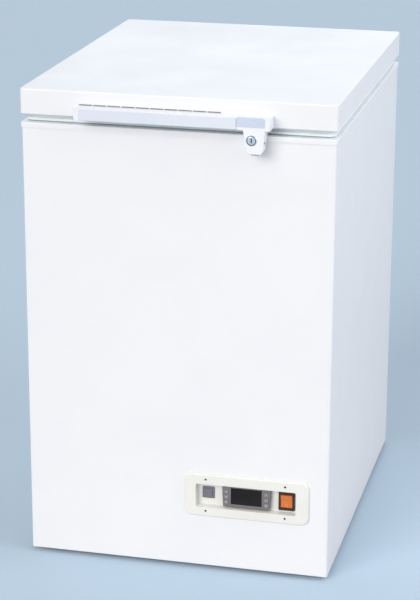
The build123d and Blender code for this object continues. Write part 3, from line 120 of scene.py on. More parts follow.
def buildGrain():
    tree, source, result = newGroup("surfaceGrain", [("Scale", "value", 400.0), ("Broad Scale", "value", 6.0),
                                                     ("Stretch", "vector", (1.0, 1.0, 1.0))],
                                    [("Fine", "value"), ("Broad", "value")])
    place = stretchedCoordinates(tree, source)
    fine = addNode(tree, "ShaderNodeTexNoise", [("Vector", place), ("Scale", source.outputs["Scale"]),
                                                ("Detail", 3.0), ("Roughness", 0.55)])
    broad = addNode(tree, "ShaderNodeTexNoise", [("Vector", place), ("Scale", source.outputs["Broad Scale"]),
                                                 ("Detail", 5.0), ("Roughness", 0.6), ("Distortion", 0.4)])
    tree.links.new(fine.outputs["Fac"], result.inputs["Fine"])
    tree.links.new(broad.outputs["Fac"], result.inputs["Broad"])
    return tree


def buildCells():
    tree, source, result = newGroup("cellPattern", [("Scale", "value", 60.0), ("Jitter", "value", 1.0),
                                                    ("Stretch", "vector", (1.0, 1.0, 1.0))],
                                    [("Tone", "value"), ("Dome", "value"), ("Joint", "value")])
    place = stretchedCoordinates(tree, source)
    shared = [("Vector", place), ("Scale", source.outputs["Scale"]), ("Randomness", source.outputs["Jitter"])]
    cells = addNode(tree, "ShaderNodeTexVoronoi", shared)
    joints = addNode(tree, "ShaderNodeTexVoronoi", shared, feature="DISTANCE_TO_EDGE")
    tone = addNode(tree, "ShaderNodeSeparateColor", [("Color", cells.outputs["Color"])])
    tree.links.new(tone.outputs[0], result.inputs["Tone"])
    tree.links.new(spread(tree, cells.outputs["Distance"], 0.0, 0.6, 1.0, 0.0), result.inputs["Dome"])
    tree.links.new(spread(tree, joints.outputs["Distance"], 0.0, 0.08, 1.0, 0.0), result.inputs["Joint"])
    return tree


def buildEdgeWear():
    tree, source, result = newGroup("edgeWear", [("Width", "value", 0.0015), ("Breakup", "value", 90.0),
                                                 ("Amount", "value", 0.5)], [("Mask", "value")])
    rounded = addNode(tree, "ShaderNodeBevel", [("Radius", source.outputs["Width"])], samples=4)
    flat = addNode(tree, "ShaderNodeNewGeometry")
    facing = addNode(tree, "ShaderNodeVectorMath", [(0, rounded.outputs[0]), (1, flat.outputs["Normal"])],
                     operation="DOT_PRODUCT")
    edge = spread(tree, facing.outputs["Value"], 0.98, 0.72, 0.0, 1.0)
    place = addNode(tree, "ShaderNodeTexCoord")
    chips = addNode(tree, "ShaderNodeTexNoise", [("Vector", place.outputs["Object"]),
                                                 ("Scale", source.outputs["Breakup"]), ("Detail", 6.0),
                                                 ("Roughness", 0.7)])
    broken = spread(tree, chips.outputs["Fac"], 0.48, 0.62, 0.0, 1.0)
    mask = mathNode(tree, "MULTIPLY", edge, broken)
    putMask(tree, mask, source, result)
    return tree


def buildDust():
    tree, source, result = newGroup("settledDust", [("Amount", "value", 0.3), ("Scale", "value", 14.0)],
                                    [("Mask", "value")])
    flat = addNode(tree, "ShaderNodeNewGeometry")
    axes = addNode(tree, "ShaderNodeSeparateXYZ", [(0, flat.outputs["Normal"])])
    upward = spread(tree, axes.outputs["Z"], 0.35, 0.98, 0.0, 1.0)
    place = addNode(tree, "ShaderNodeTexCoord")
    patches = addNode(tree, "ShaderNodeTexNoise", [("Vector", place.outputs["Object"]),
                                                   ("Scale", source.outputs["Scale"]), ("Detail", 7.0),
                                                   ("Roughness", 0.65)])
    mask = mathNode(tree, "MULTIPLY", upward, spread(tree, patches.outputs["Fac"], 0.35, 0.75, 0.15, 1.0))
    putMask(tree, mask, source, result)
    return tree


def buildScratches():
    tree, source, result = newGroup("fineScratches", [("Scale", "value", 40.0), ("Amount", "value", 0.4)],
                                    [("Mask", "value")])
    place = addNode(tree, "ShaderNodeTexCoord")
    total = None
    for angle, stretch in ((0.5, (1.0, 1.0, 30.0)), (-0.9, (26.0, 1.0, 1.0)), (1.4, (1.0, 34.0, 1.0))):
        turned = addNode(tree, "ShaderNodeMapping", [("Vector", place.outputs["Object"]),
                                                     ("Rotation", (angle, angle * 0.7, angle * 1.3)),
                                                     ("Scale", stretch)])
        lines = addNode(tree, "ShaderNodeTexNoise", [("Vector", turned.outputs[0]),
                                                     ("Scale", source.outputs["Scale"]), ("Detail", 2.0)])
        thin = spread(tree, lines.outputs["Fac"], 0.66, 0.72, 0.0, 1.0)
        total = thin if total is None else mathNode(tree, "MAXIMUM", total, thin)
    putMask(tree, total, source, result)
    return tree


grainGroup = buildGrain()
cellGroup = buildCells()
wearGroup = buildEdgeWear()
dustGroup = buildDust()
scratchGroup = buildScratches()


def placeGroup(tree, group, **values):
    node = tree.nodes.new("ShaderNodeGroup")
    node.node_tree = group
    for key, value in values.items():
        node.inputs[key].default_value = value
    return node.outputs


# Finishes, one dictionary each; colours are screen values

finishSettings = {
    "white_paint": {"colour": (242, 243, 245), "tint": (238, 240, 243), "roughness": 0.36, "spreadBy": 0.07,
                    "scale": 900, "bump": 0.10, "wear": 0.22, "wearColour": (196, 199, 203), "dust": 0.05,
                    "scratch": 0.10, "coat": 0.08},
    "galvanised_steel": {"colour": (184, 190, 196), "tint": (146, 153, 160), "roughness": 0.42,
                         "spreadBy": 0.12, "pattern": "spangle", "scale": 55, "bump": 0.05,
                         "metallic": 0.9, "dust": 0.35, "wear": 0.3, "wearColour": (210, 213, 216)},
    "tank_metal": {"colour": (226, 229, 232), "tint": (203, 208, 213), "roughness": 0.34, "spreadBy": 0.08,
                   "pattern": "stucco", "scale": 150, "bump": 0.5, "metallic": 0.92},
    "breaker_plastic": {"colour": (232, 235, 238), "tint": (222, 226, 231), "roughness": 0.48,
                        "spreadBy": 0.08, "scale": 700, "bump": 0.10, "wear": 0.15,
                        "wearColour": (205, 209, 214)},
    "liner_plastic": {"colour": (229, 234, 238), "tint": (217, 224, 229), "roughness": 0.44, "spreadBy": 0.08,
                      "scale": 520, "bump": 0.14, "wear": 0.18, "wearColour": (198, 204, 210),
                      "scratch": 0.15},
    "insulation": {"colour": (228, 207, 150), "tint": (206, 178, 116), "roughness": 0.9, "spreadBy": 0.06,
                   "pattern": "foam", "scale": 420, "bump": 0.8},
    "coil_metal": {"colour": (206, 209, 212), "tint": (172, 176, 181), "roughness": 0.38, "spreadBy": 0.1,
                   "scale": 260, "stretch": (0.15, 0.15, 3.0), "bump": 0.12, "metallic": 1.0},
    "copper": {"colour": (201, 122, 82), "tint": (132, 74, 50), "roughness": 0.32, "spreadBy": 0.14,
               "pattern": "patina", "scale": 160, "bump": 0.08, "metallic": 1.0, "dust": 0.25},
    "black_enamel": {"colour": (28, 28, 31), "tint": (40, 41, 45), "roughness": 0.3, "spreadBy": 0.1,
                     "scale": 420, "bump": 0.18, "wear": 0.5, "wearColour": (96, 84, 74), "dust": 0.5,
                     "coat": 0.4},
    "dark_rubber": {"colour": (34, 34, 37), "tint": (52, 52, 56), "roughness": 0.78, "spreadBy": 0.08,
                    "scale": 600, "bump": 0.3, "wear": 0.5, "wearColour": (84, 84, 88), "dust": 0.4},
    # the gasket's pattern paints shade bands along its upper and lower edges
    "seal_rubber": {"colour": (246, 251, 252), "tint": (236, 243, 245), "roughness": 0.6, "spreadBy": 0.07,
                    "pattern": "seal", "scale": 500, "bump": 0.2},
    "zinc_steel": {"colour": (192, 194, 198), "tint": (158, 160, 166), "roughness": 0.34, "spreadBy": 0.12,
                   "scale": 220, "stretch": (1.0, 1.0, 6.0), "bump": 0.1, "metallic": 1.0, "wear": 0.4,
                   "wearColour": (226, 227, 229), "scratch": 0.3},
    "spring_steel": {"colour": (128, 130, 136), "tint": (92, 94, 100), "roughness": 0.36, "spreadBy": 0.1,
                     "scale": 300, "stretch": (5.0, 1.0, 1.0), "bump": 0.1, "metallic": 1.0},
    "fin_metal": {"colour": (212, 214, 217), "tint": (176, 180, 185), "roughness": 0.36, "spreadBy": 0.1,
                  "scale": 180, "stretch": (1.0, 1.0, 0.1), "bump": 0.08, "metallic": 1.0, "dust": 0.5},
    "motor_metal": {"colour": (62, 65, 70), "tint": (44, 46, 50), "roughness": 0.62, "spreadBy": 0.12,
                    "scale": 520, "bump": 0.5, "metallic": 0.4, "wear": 0.4, "wearColour": (120, 122, 126),
                    "dust": 0.45},
    "black_plastic": {"colour": (31, 31, 34), "tint": (40, 40, 44), "roughness": 0.5, "spreadBy": 0.07,
                      "scale": 1400, "bump": 0.3, "wear": 0.35, "wearColour": (72, 72, 77), "dust": 0.3},
    "handle_white": {"colour": (244, 246, 250), "tint": (237, 240, 246), "roughness": 0.3, "spreadBy": 0.07,
                     "scale": 800, "bump": 0.06, "wear": 0.15, "wearColour": (212, 215, 222), "scratch": 0.12,
                     "coat": 0.2},
    # grip strip: partly its own pale grey, partly painted shade of its face in the handle's recess
    "grip_grey": {"colour": (226, 232, 241), "tint": (217, 224, 235), "roughness": 0.46, "spreadBy": 0.08,
                  "scale": 1100, "bump": 0.22, "wear": 0.2, "wearColour": (203, 209, 220), "scratch": 0.15},
    "lock_grey": {"colour": (207, 217, 236), "tint": (196, 207, 228), "roughness": 0.42, "spreadBy": 0.07,
                  "scale": 1100, "bump": 0.2, "wear": 0.3, "wearColour": (168, 178, 198)},
    "lock_chrome": {"colour": (236, 237, 240), "tint": (214, 216, 220), "roughness": 0.3, "spreadBy": 0.07,
                    "scale": 260, "bump": 0.03, "metallic": 1.0, "scratch": 0.5},
    "bezel_plastic": {"colour": (240, 240, 235), "tint": (234, 233, 226), "roughness": 0.33, "spreadBy": 0.07,
                      "scale": 760, "bump": 0.08, "wear": 0.12, "wearColour": (214, 212, 204), "coat": 0.15},
    "controller_grey": {"colour": (128, 125, 122), "tint": (113, 110, 108), "roughness": 0.5,
                        "spreadBy": 0.08, "scale": 1500, "bump": 0.35, "wear": 0.3,
                        "wearColour": (158, 156, 155)},
    "window_smoke": {"colour": (10, 9, 10), "tint": (34, 30, 32), "roughness": 0.4, "spreadBy": 0.06,
                     "scale": 240, "bump": 0.06, "coat": 0.05, "scratch": 0.25, "gloss": 0.2},
    "key_grey": {"colour": (142, 139, 145), "tint": (130, 127, 133), "roughness": 0.44, "spreadBy": 0.07,
                 "scale": 1500, "bump": 0.25, "wear": 0.4, "wearColour": (188, 186, 194)},
    "mute_grey": {"colour": (128, 125, 136), "tint": (104, 101, 110), "roughness": 0.46, "spreadBy": 0.07,
                  "scale": 1500, "bump": 0.25, "wear": 0.35, "wearColour": (158, 156, 166)},
    "switch_dark": {"colour": (56, 34, 20), "tint": (40, 26, 18), "roughness": 0.34, "spreadBy": 0.07,
                    "scale": 1200, "bump": 0.12, "wear": 0.3, "wearColour": (92, 76, 64), "coat": 0.2},
    "rocker_orange": {"colour": (226, 128, 48), "tint": (206, 98, 26), "roughness": 0.28, "spreadBy": 0.06,
                      "scale": 1000, "bump": 0.08, "coat": 0.3, "wear": 0.2, "wearColour": (236, 160, 96)},
    "rocker_mark": {"colour": (240, 176, 112), "tint": (232, 158, 88), "roughness": 0.4, "spreadBy": 0.06,
                    "scale": 900, "bump": 0.1},
    "mark_light": {"colour": (206, 204, 214), "tint": (192, 190, 200), "roughness": 0.5, "spreadBy": 0.06,
                   "scale": 900, "bump": 0.1},
    # painted shade: the dark grey of the dashes along the handle's top joint
    "seam_grey": {"colour": (140, 136, 138), "tint": (112, 108, 108), "roughness": 0.6, "spreadBy": 0.08,
                  "scale": 900, "bump": 0.3},
    "dark_screw": {"colour": (46, 46, 50), "tint": (32, 32, 36), "roughness": 0.4, "spreadBy": 0.1,
                   "scale": 500, "bump": 0.15, "metallic": 0.8, "wear": 0.5, "wearColour": (112, 112, 118)},
}


# painted shade on the gasket: where its shaded bands start and the colours painted for them, paler along the
# sides
sealShadeZones = {"root": 0.8141, "foot": 0.8026, "lip": (128, 156, 160), "sideGapShade": (196, 208, 213),
             "sideFrom": 0.2665}


def paintSealGapShade(tree, colour):
    # painted shade: teal-grey bands above the root and below the foot stand in for the shadow lines of the
    # gap under the lid, painted paler along the sides
    place = addNode(tree, "ShaderNodeTexCoord")
    axes = addNode(tree, "ShaderNodeSeparateXYZ", [(0, place.outputs["Object"])])
    above = mathNode(tree, "GREATER_THAN", axes.outputs["Z"], sealShadeZones["root"])
    below = mathNode(tree, "LESS_THAN", axes.outputs["Z"], sealShadeZones["foot"])
    across = mathNode(tree, "ABSOLUTE", axes.outputs["X"])
    atSide = mathNode(tree, "GREATER_THAN", across, sealShadeZones["sideFrom"])
    lip = blendColour(tree, atSide, linear(*sealShadeZones["lip"]), linear(*sealShadeZones["sideGapShade"]))
    return blendColour(tree, mathNode(tree, "MAXIMUM", above, below), colour, lip)


finishShared = {"tintRange": (0.35, 0.65), "patinaRange": (0.42, 0.58), "roughRange": (0.3, 0.7),
                "cellTone": 0.8, "jointTone": 0.7, "foamTone": 0.5, "scratchRough": 0.35,
                "dust": (186, 182, 174), "dustRough": 0.4, "reliefDepth": 0.0004, "gloss": 0.5,
                "coatRoughness": 0.12}


def makeFinish(name, setting):
    material = bpy.data.materials.new(name)
    material.use_nodes = True
    tree = material.node_tree
    shader = tree.nodes["Principled BSDF"]
    pattern = setting.get("pattern", "plain")
    stretch = setting.get("stretch", (1.0, 1.0, 1.0))
    grain = placeGroup(tree, grainGroup, Scale=setting["scale"], Stretch=stretch)
    factor = spread(tree, grain["Broad"], *finishShared["tintRange"], 0.0, 1.0)
    height = grain["Fine"]
    if pattern in ("spangle", "stucco", "foam"):
        cells = placeGroup(tree, cellGroup, Scale=setting["scale"])
        if pattern == "spangle":
            factor = mathNode(tree, "MULTIPLY", cells["Tone"], finishShared["cellTone"])
        elif pattern == "stucco":
            height = cells["Dome"]
            factor = mathNode(tree, "MULTIPLY", cells["Joint"], finishShared["jointTone"])
        else:
            height = cells["Dome"]
            both = mathNode(tree, "ADD", cells["Tone"], grain["Broad"])
            factor = mathNode(tree, "MULTIPLY", both, finishShared["foamTone"])
    elif pattern == "patina":
        factor = spread(tree, grain["Broad"], *finishShared["patinaRange"], 0.0, 1.0)
    colour = blendColour(tree, factor, linear(*setting["colour"]), linear(*setting["tint"]))
    rough = spread(tree, grain["Broad"], *finishShared["roughRange"],
                   setting["roughness"] - setting["spreadBy"], setting["roughness"] + setting["spreadBy"])
    # the gasket gets painted shade along its upper and lower edges
    if pattern == "seal":
        colour = paintSealGapShade(tree, colour)
    if "scratch" in setting:
        lines = placeGroup(tree, scratchGroup, Amount=setting["scratch"])["Mask"]
        lines = mathNode(tree, "MULTIPLY", lines, finishShared["scratchRough"])
        rough = mathNode(tree, "ADD", rough, lines, clamp=True)
    if "wear" in setting:
        worn = placeGroup(tree, wearGroup, Amount=setting["wear"])["Mask"]
        colour = blendColour(tree, worn, colour, linear(*setting["wearColour"]))
    if "dust" in setting:
        dusty = placeGroup(tree, dustGroup, Amount=setting["dust"])["Mask"]
        colour = blendColour(tree, dusty, colour, linear(*finishShared["dust"]))
        dusty = mathNode(tree, "MULTIPLY", dusty, finishShared["dustRough"])
        rough = mathNode(tree, "ADD", rough, dusty, clamp=True)
    relief = addNode(tree, "ShaderNodeBump", [("Strength", setting["bump"]),
                                              ("Distance", finishShared["reliefDepth"]), ("Height", height)])
    tree.links.new(colour, shader.inputs["Base Color"])
    tree.links.new(rough, shader.inputs["Roughness"])
    tree.links.new(relief.outputs[0], shader.inputs["Normal"])
    shader.inputs["Metallic"].default_value = setting.get("metallic", 0.0)
    shader.inputs["Coat Weight"].default_value = setting.get("coat", 0.0)
    shader.inputs["Specular IOR Level"].default_value = setting.get("gloss", finishShared["gloss"])
    shader.inputs["Coat Roughness"].default_value = finishShared["coatRoughness"]
    return material


finishes = {name: makeFinish(name, setting) for name, setting in finishSettings.items()}
for part in frame["record"]["subparts"]:
    piece = cadNodes[part["node"]]
    piece.data.materials.clear()
    piece.data.materials.append(finishes[part["material_slot"]])
print("finishes on every node:", len(finishes))


# Pieces modelled here

def newPiece(name, mesh, body, slot, replaced=()):
    data = bpy.data.meshes.new(name)
    bmesh.ops.recalc_face_normals(mesh, faces=mesh.faces)
    mesh.to_mesh(data)
    mesh.free()
    piece = bpy.data.objects.new(name, data)
    bpy.context.collection.objects.link(piece)
    data.materials.append(finishes[slot])
    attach(piece, body)
    if replaced:
        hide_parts(*replaced)
    return piece


def smoothBy(piece, degrees=35):
    # smooth faces, with sharp edges left where the surface turns by more than this
    for face in piece.data.polygons:
        face.use_smooth = True
    mesh = bmesh.new()
    mesh.from_mesh(piece.data)
    for edge in mesh.edges:
        if len(edge.link_faces) == 2:
            edge.smooth = edge.calc_face_angle(0) < math.radians(degrees)
    mesh.to_mesh(piece.data)
    mesh.free()


def ringStack(mesh, segments, rings, hollow=False):
    # rings are (radius or a function of the angle, height), joined one after another;
    # a hollow stack joins its last ring to its first, and any other gets a face at each end
    made = bmesh.ops.create_circle(mesh, segments=segments, radius=1.0)
    loop = made["verts"]
    angles = [math.atan2(vert.co.y, vert.co.x) for vert in loop]

    def settle(verts, radius, height):
        for vert, angle in zip(verts, angles):
            reach = radius(angle) if callable(radius) else radius
            vert.co = (reach * math.cos(angle), reach * math.sin(angle), height)

    settle(loop, *rings[0])
    edges = [edge for edge in mesh.edges if edge.verts[0] in set(loop) and edge.verts[1] in set(loop)]
    firstEdges = edges
    for radius, height in rings[1:]:
        order = {vert: index for index, vert in enumerate(loop)}
        made = bmesh.ops.extrude_edge_only(mesh, edges=edges)
        verts = [item for item in made["geom"] if isinstance(item, bmesh.types.BMVert)]
        edges = [item for item in made["geom"] if isinstance(item, bmesh.types.BMEdge)]
        ordered = [None] * len(loop)
        for vert in verts:
            below = [edge.other_vert(vert) for edge in vert.link_edges if edge.other_vert(vert) in order][0]
            ordered[order[below]] = vert
        loop = ordered
        settle(loop, radius, height)
    if hollow:
        bmesh.ops.bridge_loops(mesh, edges=firstEdges + edges)
    else:
        bmesh.ops.contextual_create(mesh, geom=firstEdges)
        bmesh.ops.contextual_create(mesh, geom=edges)


def plusShape(arm, half):
    # outline of a cross recess, as a distance for each angle
    def reach(angle):
        across, along = sorted((abs(math.cos(angle)), abs(math.sin(angle))))
        return min(arm / along, half / max(across, 1e-6))
    return reach


def slotShape(long, half):
    def reach(angle):
        return min(half / max(abs(math.cos(angle)), 1e-6), long / max(abs(math.sin(angle)), 1e-6))
    return reach


def turnTo(mesh, facing, place):
    # moves what was built round Z so that it faces along a direction at a place
    turn = Vector((0, 0, 1)).rotation_difference(Vector(facing)).to_matrix().to_4x4()
    bmesh.ops.transform(mesh, matrix=Matrix.Translation(place) @ turn, verts=mesh.verts)


def addBlock(mesh, size, middle):
    verts = bmesh.ops.create_cube(mesh, size=1.0)["verts"]
    bmesh.ops.scale(mesh, vec=size, verts=verts)
    bmesh.ops.translate(mesh, vec=middle, verts=verts)
    return verts


def bevelEdges(mesh, edges, offset, segments):
    bmesh.ops.bevel(mesh, geom=edges, offset=offset, segments=segments, profile=0.5, affect="EDGES",
                    material=-1)


def raiseFaces(mesh, height):
    # gives a flat shape in the XY plane its thickness
    made = bmesh.ops.extrude_face_region(mesh, geom=list(mesh.faces))["geom"]
    lifted = [item for item in made if isinstance(item, bmesh.types.BMVert)]
    bmesh.ops.translate(mesh, vec=(0, 0, height), verts=lifted)


def joinInto(mesh, part):
    spare = bpy.data.meshes.new("spare")
    part.to_mesh(spare)
    part.free()
    mesh.from_mesh(spare)
    bpy.data.meshes.remove(spare)


screwHead = {"dome": ((0.98, 0.0), (1.0, 0.18), (0.94, 0.55), (0.78, 0.88), (0.62, 1.0)),
             "crossTop": (0.56, 0.15), "crossFloor": (0.4, 0.12), "segments": 40, "shankSegments": 16}


def addScrew(mesh, radius, height, recess, place, facing):
    # domed head with a cross recess; screwHead holds shares of its radius and height
    part = bmesh.new()
    rings = [(radius * across, height * up) for across, up in screwHead["dome"]]
    for cross, level in (("crossTop", height), ("crossFloor", height - recess)):
        arm, half = screwHead[cross]
        rings.append((plusShape(radius * arm, radius * half), level))
    ringStack(part, screwHead["segments"], rings)
    turnTo(part, facing, place)
    joinInto(mesh, part)


def solidBoxes(node):
    # low and high corner of each separate solid of a CAD node
    mesh = bmesh.new()
    mesh.from_mesh(cadNodes[node].data)
    bmesh.ops.remove_doubles(mesh, verts=mesh.verts, dist=1e-6)
    seen = set()
    boxes = []
    for start in mesh.verts:
        if start in seen:
            continue
        island = []
        queue = [start]
        seen.add(start)
        while queue:
            vert = queue.pop()
            island.append(vert.co.copy())
            for edge in vert.link_edges:
                other = edge.other_vert(vert)
                if other not in seen:
                    seen.add(other)
                    queue.append(other)
        low = Vector([min(point[axis] for point in island) for axis in range(3)])
        high = Vector([max(point[axis] for point in island) for axis in range(3)])
        boxes.append((low, high))
    mesh.free()
    return boxes


screwSettings = {
    "panelHeads": {"node": "panel_screws", "outward": -1, "head": 0.55, "shank": 0.6, "recess": 0.0008,
                   "body": "cabinet", "slot": "dark_screw"},
    "bodyHeads": {"node": "body_screws", "outward": 1, "head": 0.55, "shank": 0.5, "recess": 0.0012,
                  "body": "cabinet", "slot": "zinc_steel"},
    "leafHeads": {"node": "leaf_screws", "outward": 1, "head": 0.55, "shank": 0.5, "recess": 0.0012,
                  "body": "lid", "slot": "zinc_steel"},
}


def makeScrews(name, setting):
    # each head has the radius, the place and the length of the screw that it replaces
    mesh = bmesh.new()
    outward = setting["outward"]
    for low, high in solidBoxes(setting["node"]):
        radius = (high.x - low.x) / 2
        height = radius * setting["head"]
        tip, far = (high.y, low.y) if outward > 0 else (low.y, high.y)
        place = Vector(((low.x + high.x) / 2, tip - outward * height, (low.z + high.z) / 2))
        addScrew(mesh, radius, height, setting["recess"], place, (0, outward, 0))
        shank = bmesh.new()
        thin = radius * setting["shank"]
        ringStack(shank, screwHead["shankSegments"], [(thin, 0.0), (thin, abs(place.y - far))])
        turnTo(shank, (0, -outward, 0), place)
        joinInto(mesh, shank)
    piece = newPiece(name, mesh, setting["body"], setting["slot"], (setting["node"],))
    smoothBy(piece)


for name, setting in screwSettings.items():
    makeScrews(name, setting)
print("screws made")


# some of these sizes are for the dark pieces of painted shade in the groove and behind the keyway
lockSettings = {"x": 0.136, "z": 0.7991, "front": -0.3681, "seat": -0.3669, "back": -0.3509,
                "flange": 0.0092, "flangeFace": 0.96, "flangeStep": 0.35, "barrel": 0.0085,
                "barrelEnd": 0.93, "chamfer": 0.0006, "softening": 0.0001, "segments": 64,
                "grooveOut": 0.0082, "grooveIn": 0.0070, "grooveDeep": 0.0010, "plugFace": 0.95,
                "shadeRingOut": 0.008118, "shadeRingIn": 0.00707, "shadeRingTop": 0.0004, "keyRing": 0.00459,
                "keyway": (0.0040, 0.0010), "keyDeep": 0.0075, "blades": (0.00388, 0.00095),
                "keywayShadeTip": (0.0020, 0.0004), "keywayShadeLevels": (0.0070, 0.0006, 0.0005),
                "keywayShadeSegments": 32, "tail": 0.003, "tailEnd": -0.3479, "tailRound": 0.0004,
                "smoothBelow": 30}


def aimAtLock(mesh, depth):
    # what was built round Z, with its face at Z 0, turns to face the front at this depth
    own = lockSettings
    place = Matrix.Translation((own["x"], depth, own["z"])) @ Matrix.Rotation(math.radians(90), 4, "X")
    bmesh.ops.transform(mesh, matrix=place, verts=mesh.verts)


def makeLockBarrel():
    own = lockSettings
    mesh = bmesh.new()
    proud = own["seat"] - own["front"]
    deep = own["back"] - own["front"]
    keyway = slotShape(*own["keyway"])
    rings = [(own["barrel"] * own["barrelEnd"], -deep), (own["barrel"], own["chamfer"] - deep),
             (own["barrel"], -proud), (own["flange"], -proud), (own["flange"], -proud * own["flangeStep"]),
             (own["flange"] * own["flangeFace"], 0.0), (own["grooveOut"], 0.0),
             (own["grooveOut"], -own["grooveDeep"]), (own["grooveIn"], -own["grooveDeep"]),
             (own["grooveIn"], -own["softening"]), (own["grooveIn"] * own["plugFace"], 0.0),
             (own["keyRing"], 0.0), (keyway, -own["softening"]), (keyway, -own["keyDeep"])]
    ringStack(mesh, own["segments"], rings)
    aimAtLock(mesh, own["front"])
    tail = addBlock(mesh, (2 * own["tail"], own["tailEnd"] - own["back"], 2 * own["tail"]),
                    (own["x"], (own["tailEnd"] + own["back"]) / 2, own["z"]))
    bevelEdges(mesh, [edge for edge in mesh.edges if edge.verts[0] in set(tail)], own["tailRound"], 2)
    piece = newPiece("lockCylinder", mesh, "lock", "lock_chrome", ("lock_barrel",))
    smoothBy(piece, own["smoothBelow"])


def makeLockShade():
    # painted shade: a dark ring on the groove's floor and dark shapes behind the keyway stand in for the
    # shade in the groove and in the keyway
    own = lockSettings
    mesh = bmesh.new()
    rings = [(own["shadeRingIn"], -own["grooveDeep"]), (own["shadeRingIn"], -own["shadeRingTop"]),
             (own["shadeRingOut"], -own["shadeRingTop"]), (own["shadeRingOut"], -own["grooveDeep"])]
    ringStack(mesh, own["segments"], rings, hollow=True)
    low, high, tip = own["keywayShadeLevels"]
    blades = slotShape(*own["blades"])
    ringStack(mesh, own["keywayShadeSegments"], [(blades, -low), (blades, -high),
                                           (slotShape(*own["keywayShadeTip"]), -tip)])
    aimAtLock(mesh, own["front"])
    piece = newPiece("lockGrooveShade", mesh, "lock", "black_plastic")
    smoothBy(piece, own["smoothBelow"])


makeLockBarrel()
# dark pieces of painted shade in the lock's groove and keyway
makeLockShade()


# painted shade: the grey pad under the tongue
tongueShadePad = {"low": (0.1325, -0.3640, 0.7737), "high": (0.1490, -0.3460, 0.7757), "corner": 0.005,
              "rim": 0.0008, "near": 0.0001}


def makeTongueShadePad():
    # painted shade: a small grey pad under the tongue's foot stands in for the shade at the tongue's bottom
    # edge
    own = tongueShadePad
    low = Vector(own["low"])
    high = Vector(own["high"])
    mesh = bmesh.new()
    addBlock(mesh, high - low, (high + low) / 2)
    half = (high - low).z / 2
    upright = [edge for edge in mesh.edges if abs(edge.verts[0].co.z - edge.verts[1].co.z) > half]
    bevelEdges(mesh, upright, own["corner"], 6)
    lower = [edge for edge in mesh.edges if max(vert.co.z for vert in edge.verts) < low.z + own["near"]]
    bevelEdges(mesh, lower, own["rim"], 3)
    piece = newPiece("tongueShadePad", mesh, "lid", "mute_grey")
    smoothBy(piece)


makeTongueShadePad()


tongueScrew = {"z": 0.7935, "y": -0.3555, "radius": 0.0022, "height": 0.0007, "recess": 0.0004,
               "sideTop": 0.821, "sideTopX": 0.1595, "sideSlope": 0.006 / 0.0454, "sunk": 0.0001,
               "lean": -0.13}


def makeTongueScrew():
    # on the tongue's sloping side
    own = tongueScrew
    x = own["sideTopX"] - own["sideSlope"] * (own["sideTop"] - own["z"]) - own["sunk"]
    mesh = bmesh.new()
    place = Vector((x, own["y"], own["z"]))
    addScrew(mesh, own["radius"], own["height"], own["recess"], place, (1, 0, own["lean"]))
    piece = newPiece("tongueScrew", mesh, "lid", "dark_screw")
    smoothBy(piece)


makeTongueScrew()


# painted shade: sizes of the dark dashes along the top of the handle
handleShadowGap = {"left": -0.1690, "right": 0.0985, "dash": 0.0228, "gap": 0.0020, "high": 0.0016,
              "deep": 0.0010, "round": 0.00035}


def makeHandleShadowGap():
    # painted shade: dark grey dashes on the lid's front, along the top of the handle, stand in for the shadow
    # in the joint there
    own = handleShadowGap
    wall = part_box("lid_skin")[0][1]
    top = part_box("handle_body")[1][2]
    step = own["dash"] + own["gap"]
    mesh = bmesh.new()
    for index in range(int((own["right"] - own["left"]) / step)):
        left = own["left"] + index * step
        addBlock(mesh, (own["dash"], own["deep"], own["high"]),
                 (left + own["dash"] / 2, wall - own["deep"] / 2, top + own["high"] / 2))
    bevelEdges(mesh, list(mesh.edges), own["round"], 3)
    piece = newPiece("handleShadowGap", mesh, "lid", "seam_grey")
    smoothBy(piece)


makeHandleShadowGap()


rockerMarks = {"proud": 0.00012, "bar": (0.0034, 0.0008), "ring": (0.0019, 0.0012), "fromMiddle": 0.0075,
               "pivotY": -0.3264, "pivotZ": 0.1442, "tilt": 7, "faceOut": 0.0034, "faceRise": 0.0012,
               "faceHalf": 0.01195, "segments": 40}


def makeRockerMarks():
    # a bar on the upper half and a ring on the lower one, along the rocker's two sloping faces
    own = rockerMarks
    mesh = bmesh.new()
    low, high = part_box("power_rocker")
    pivot = Vector(((low[0] + high[0]) / 2, own["pivotY"], own["pivotZ"]))
    tilt = Matrix.Rotation(math.radians(own["tilt"]), 4, "X")
    slope = math.atan2(own["faceRise"], own["faceHalf"])
    out = -own["faceOut"] - own["faceRise"] * own["fromMiddle"] / own["faceHalf"]
    for side in (1, -1):
        part = bmesh.new()
        if side > 0:
            addBlock(part, (own["bar"][1], own["bar"][0], 2 * own["proud"]), (0, 0, 0))
        else:
            for radius in own["ring"]:
                bmesh.ops.create_circle(part, segments=own["segments"], radius=radius)
            bmesh.ops.bridge_loops(part, edges=list(part.edges))
            raiseFaces(part, own["proud"])
        lean = Matrix.Rotation(math.radians(90) + side * slope, 4, "X")
        place = Matrix.Translation((0, out, side * own["fromMiddle"]))
        bmesh.ops.transform(part, matrix=Matrix.Translation(pivot) @ tilt @ place @ lean, verts=part.verts)
        joinInto(mesh, part)
    newPiece("rockerMarks", mesh, "power", "rocker_mark")


makeRockerMarks()
print("lock, handle and switch details made")


keyMarks = {"radius": 0.0013, "proud": 0.00008, "sides": {"top": 3, "middle": 4, "bottom": 24}}


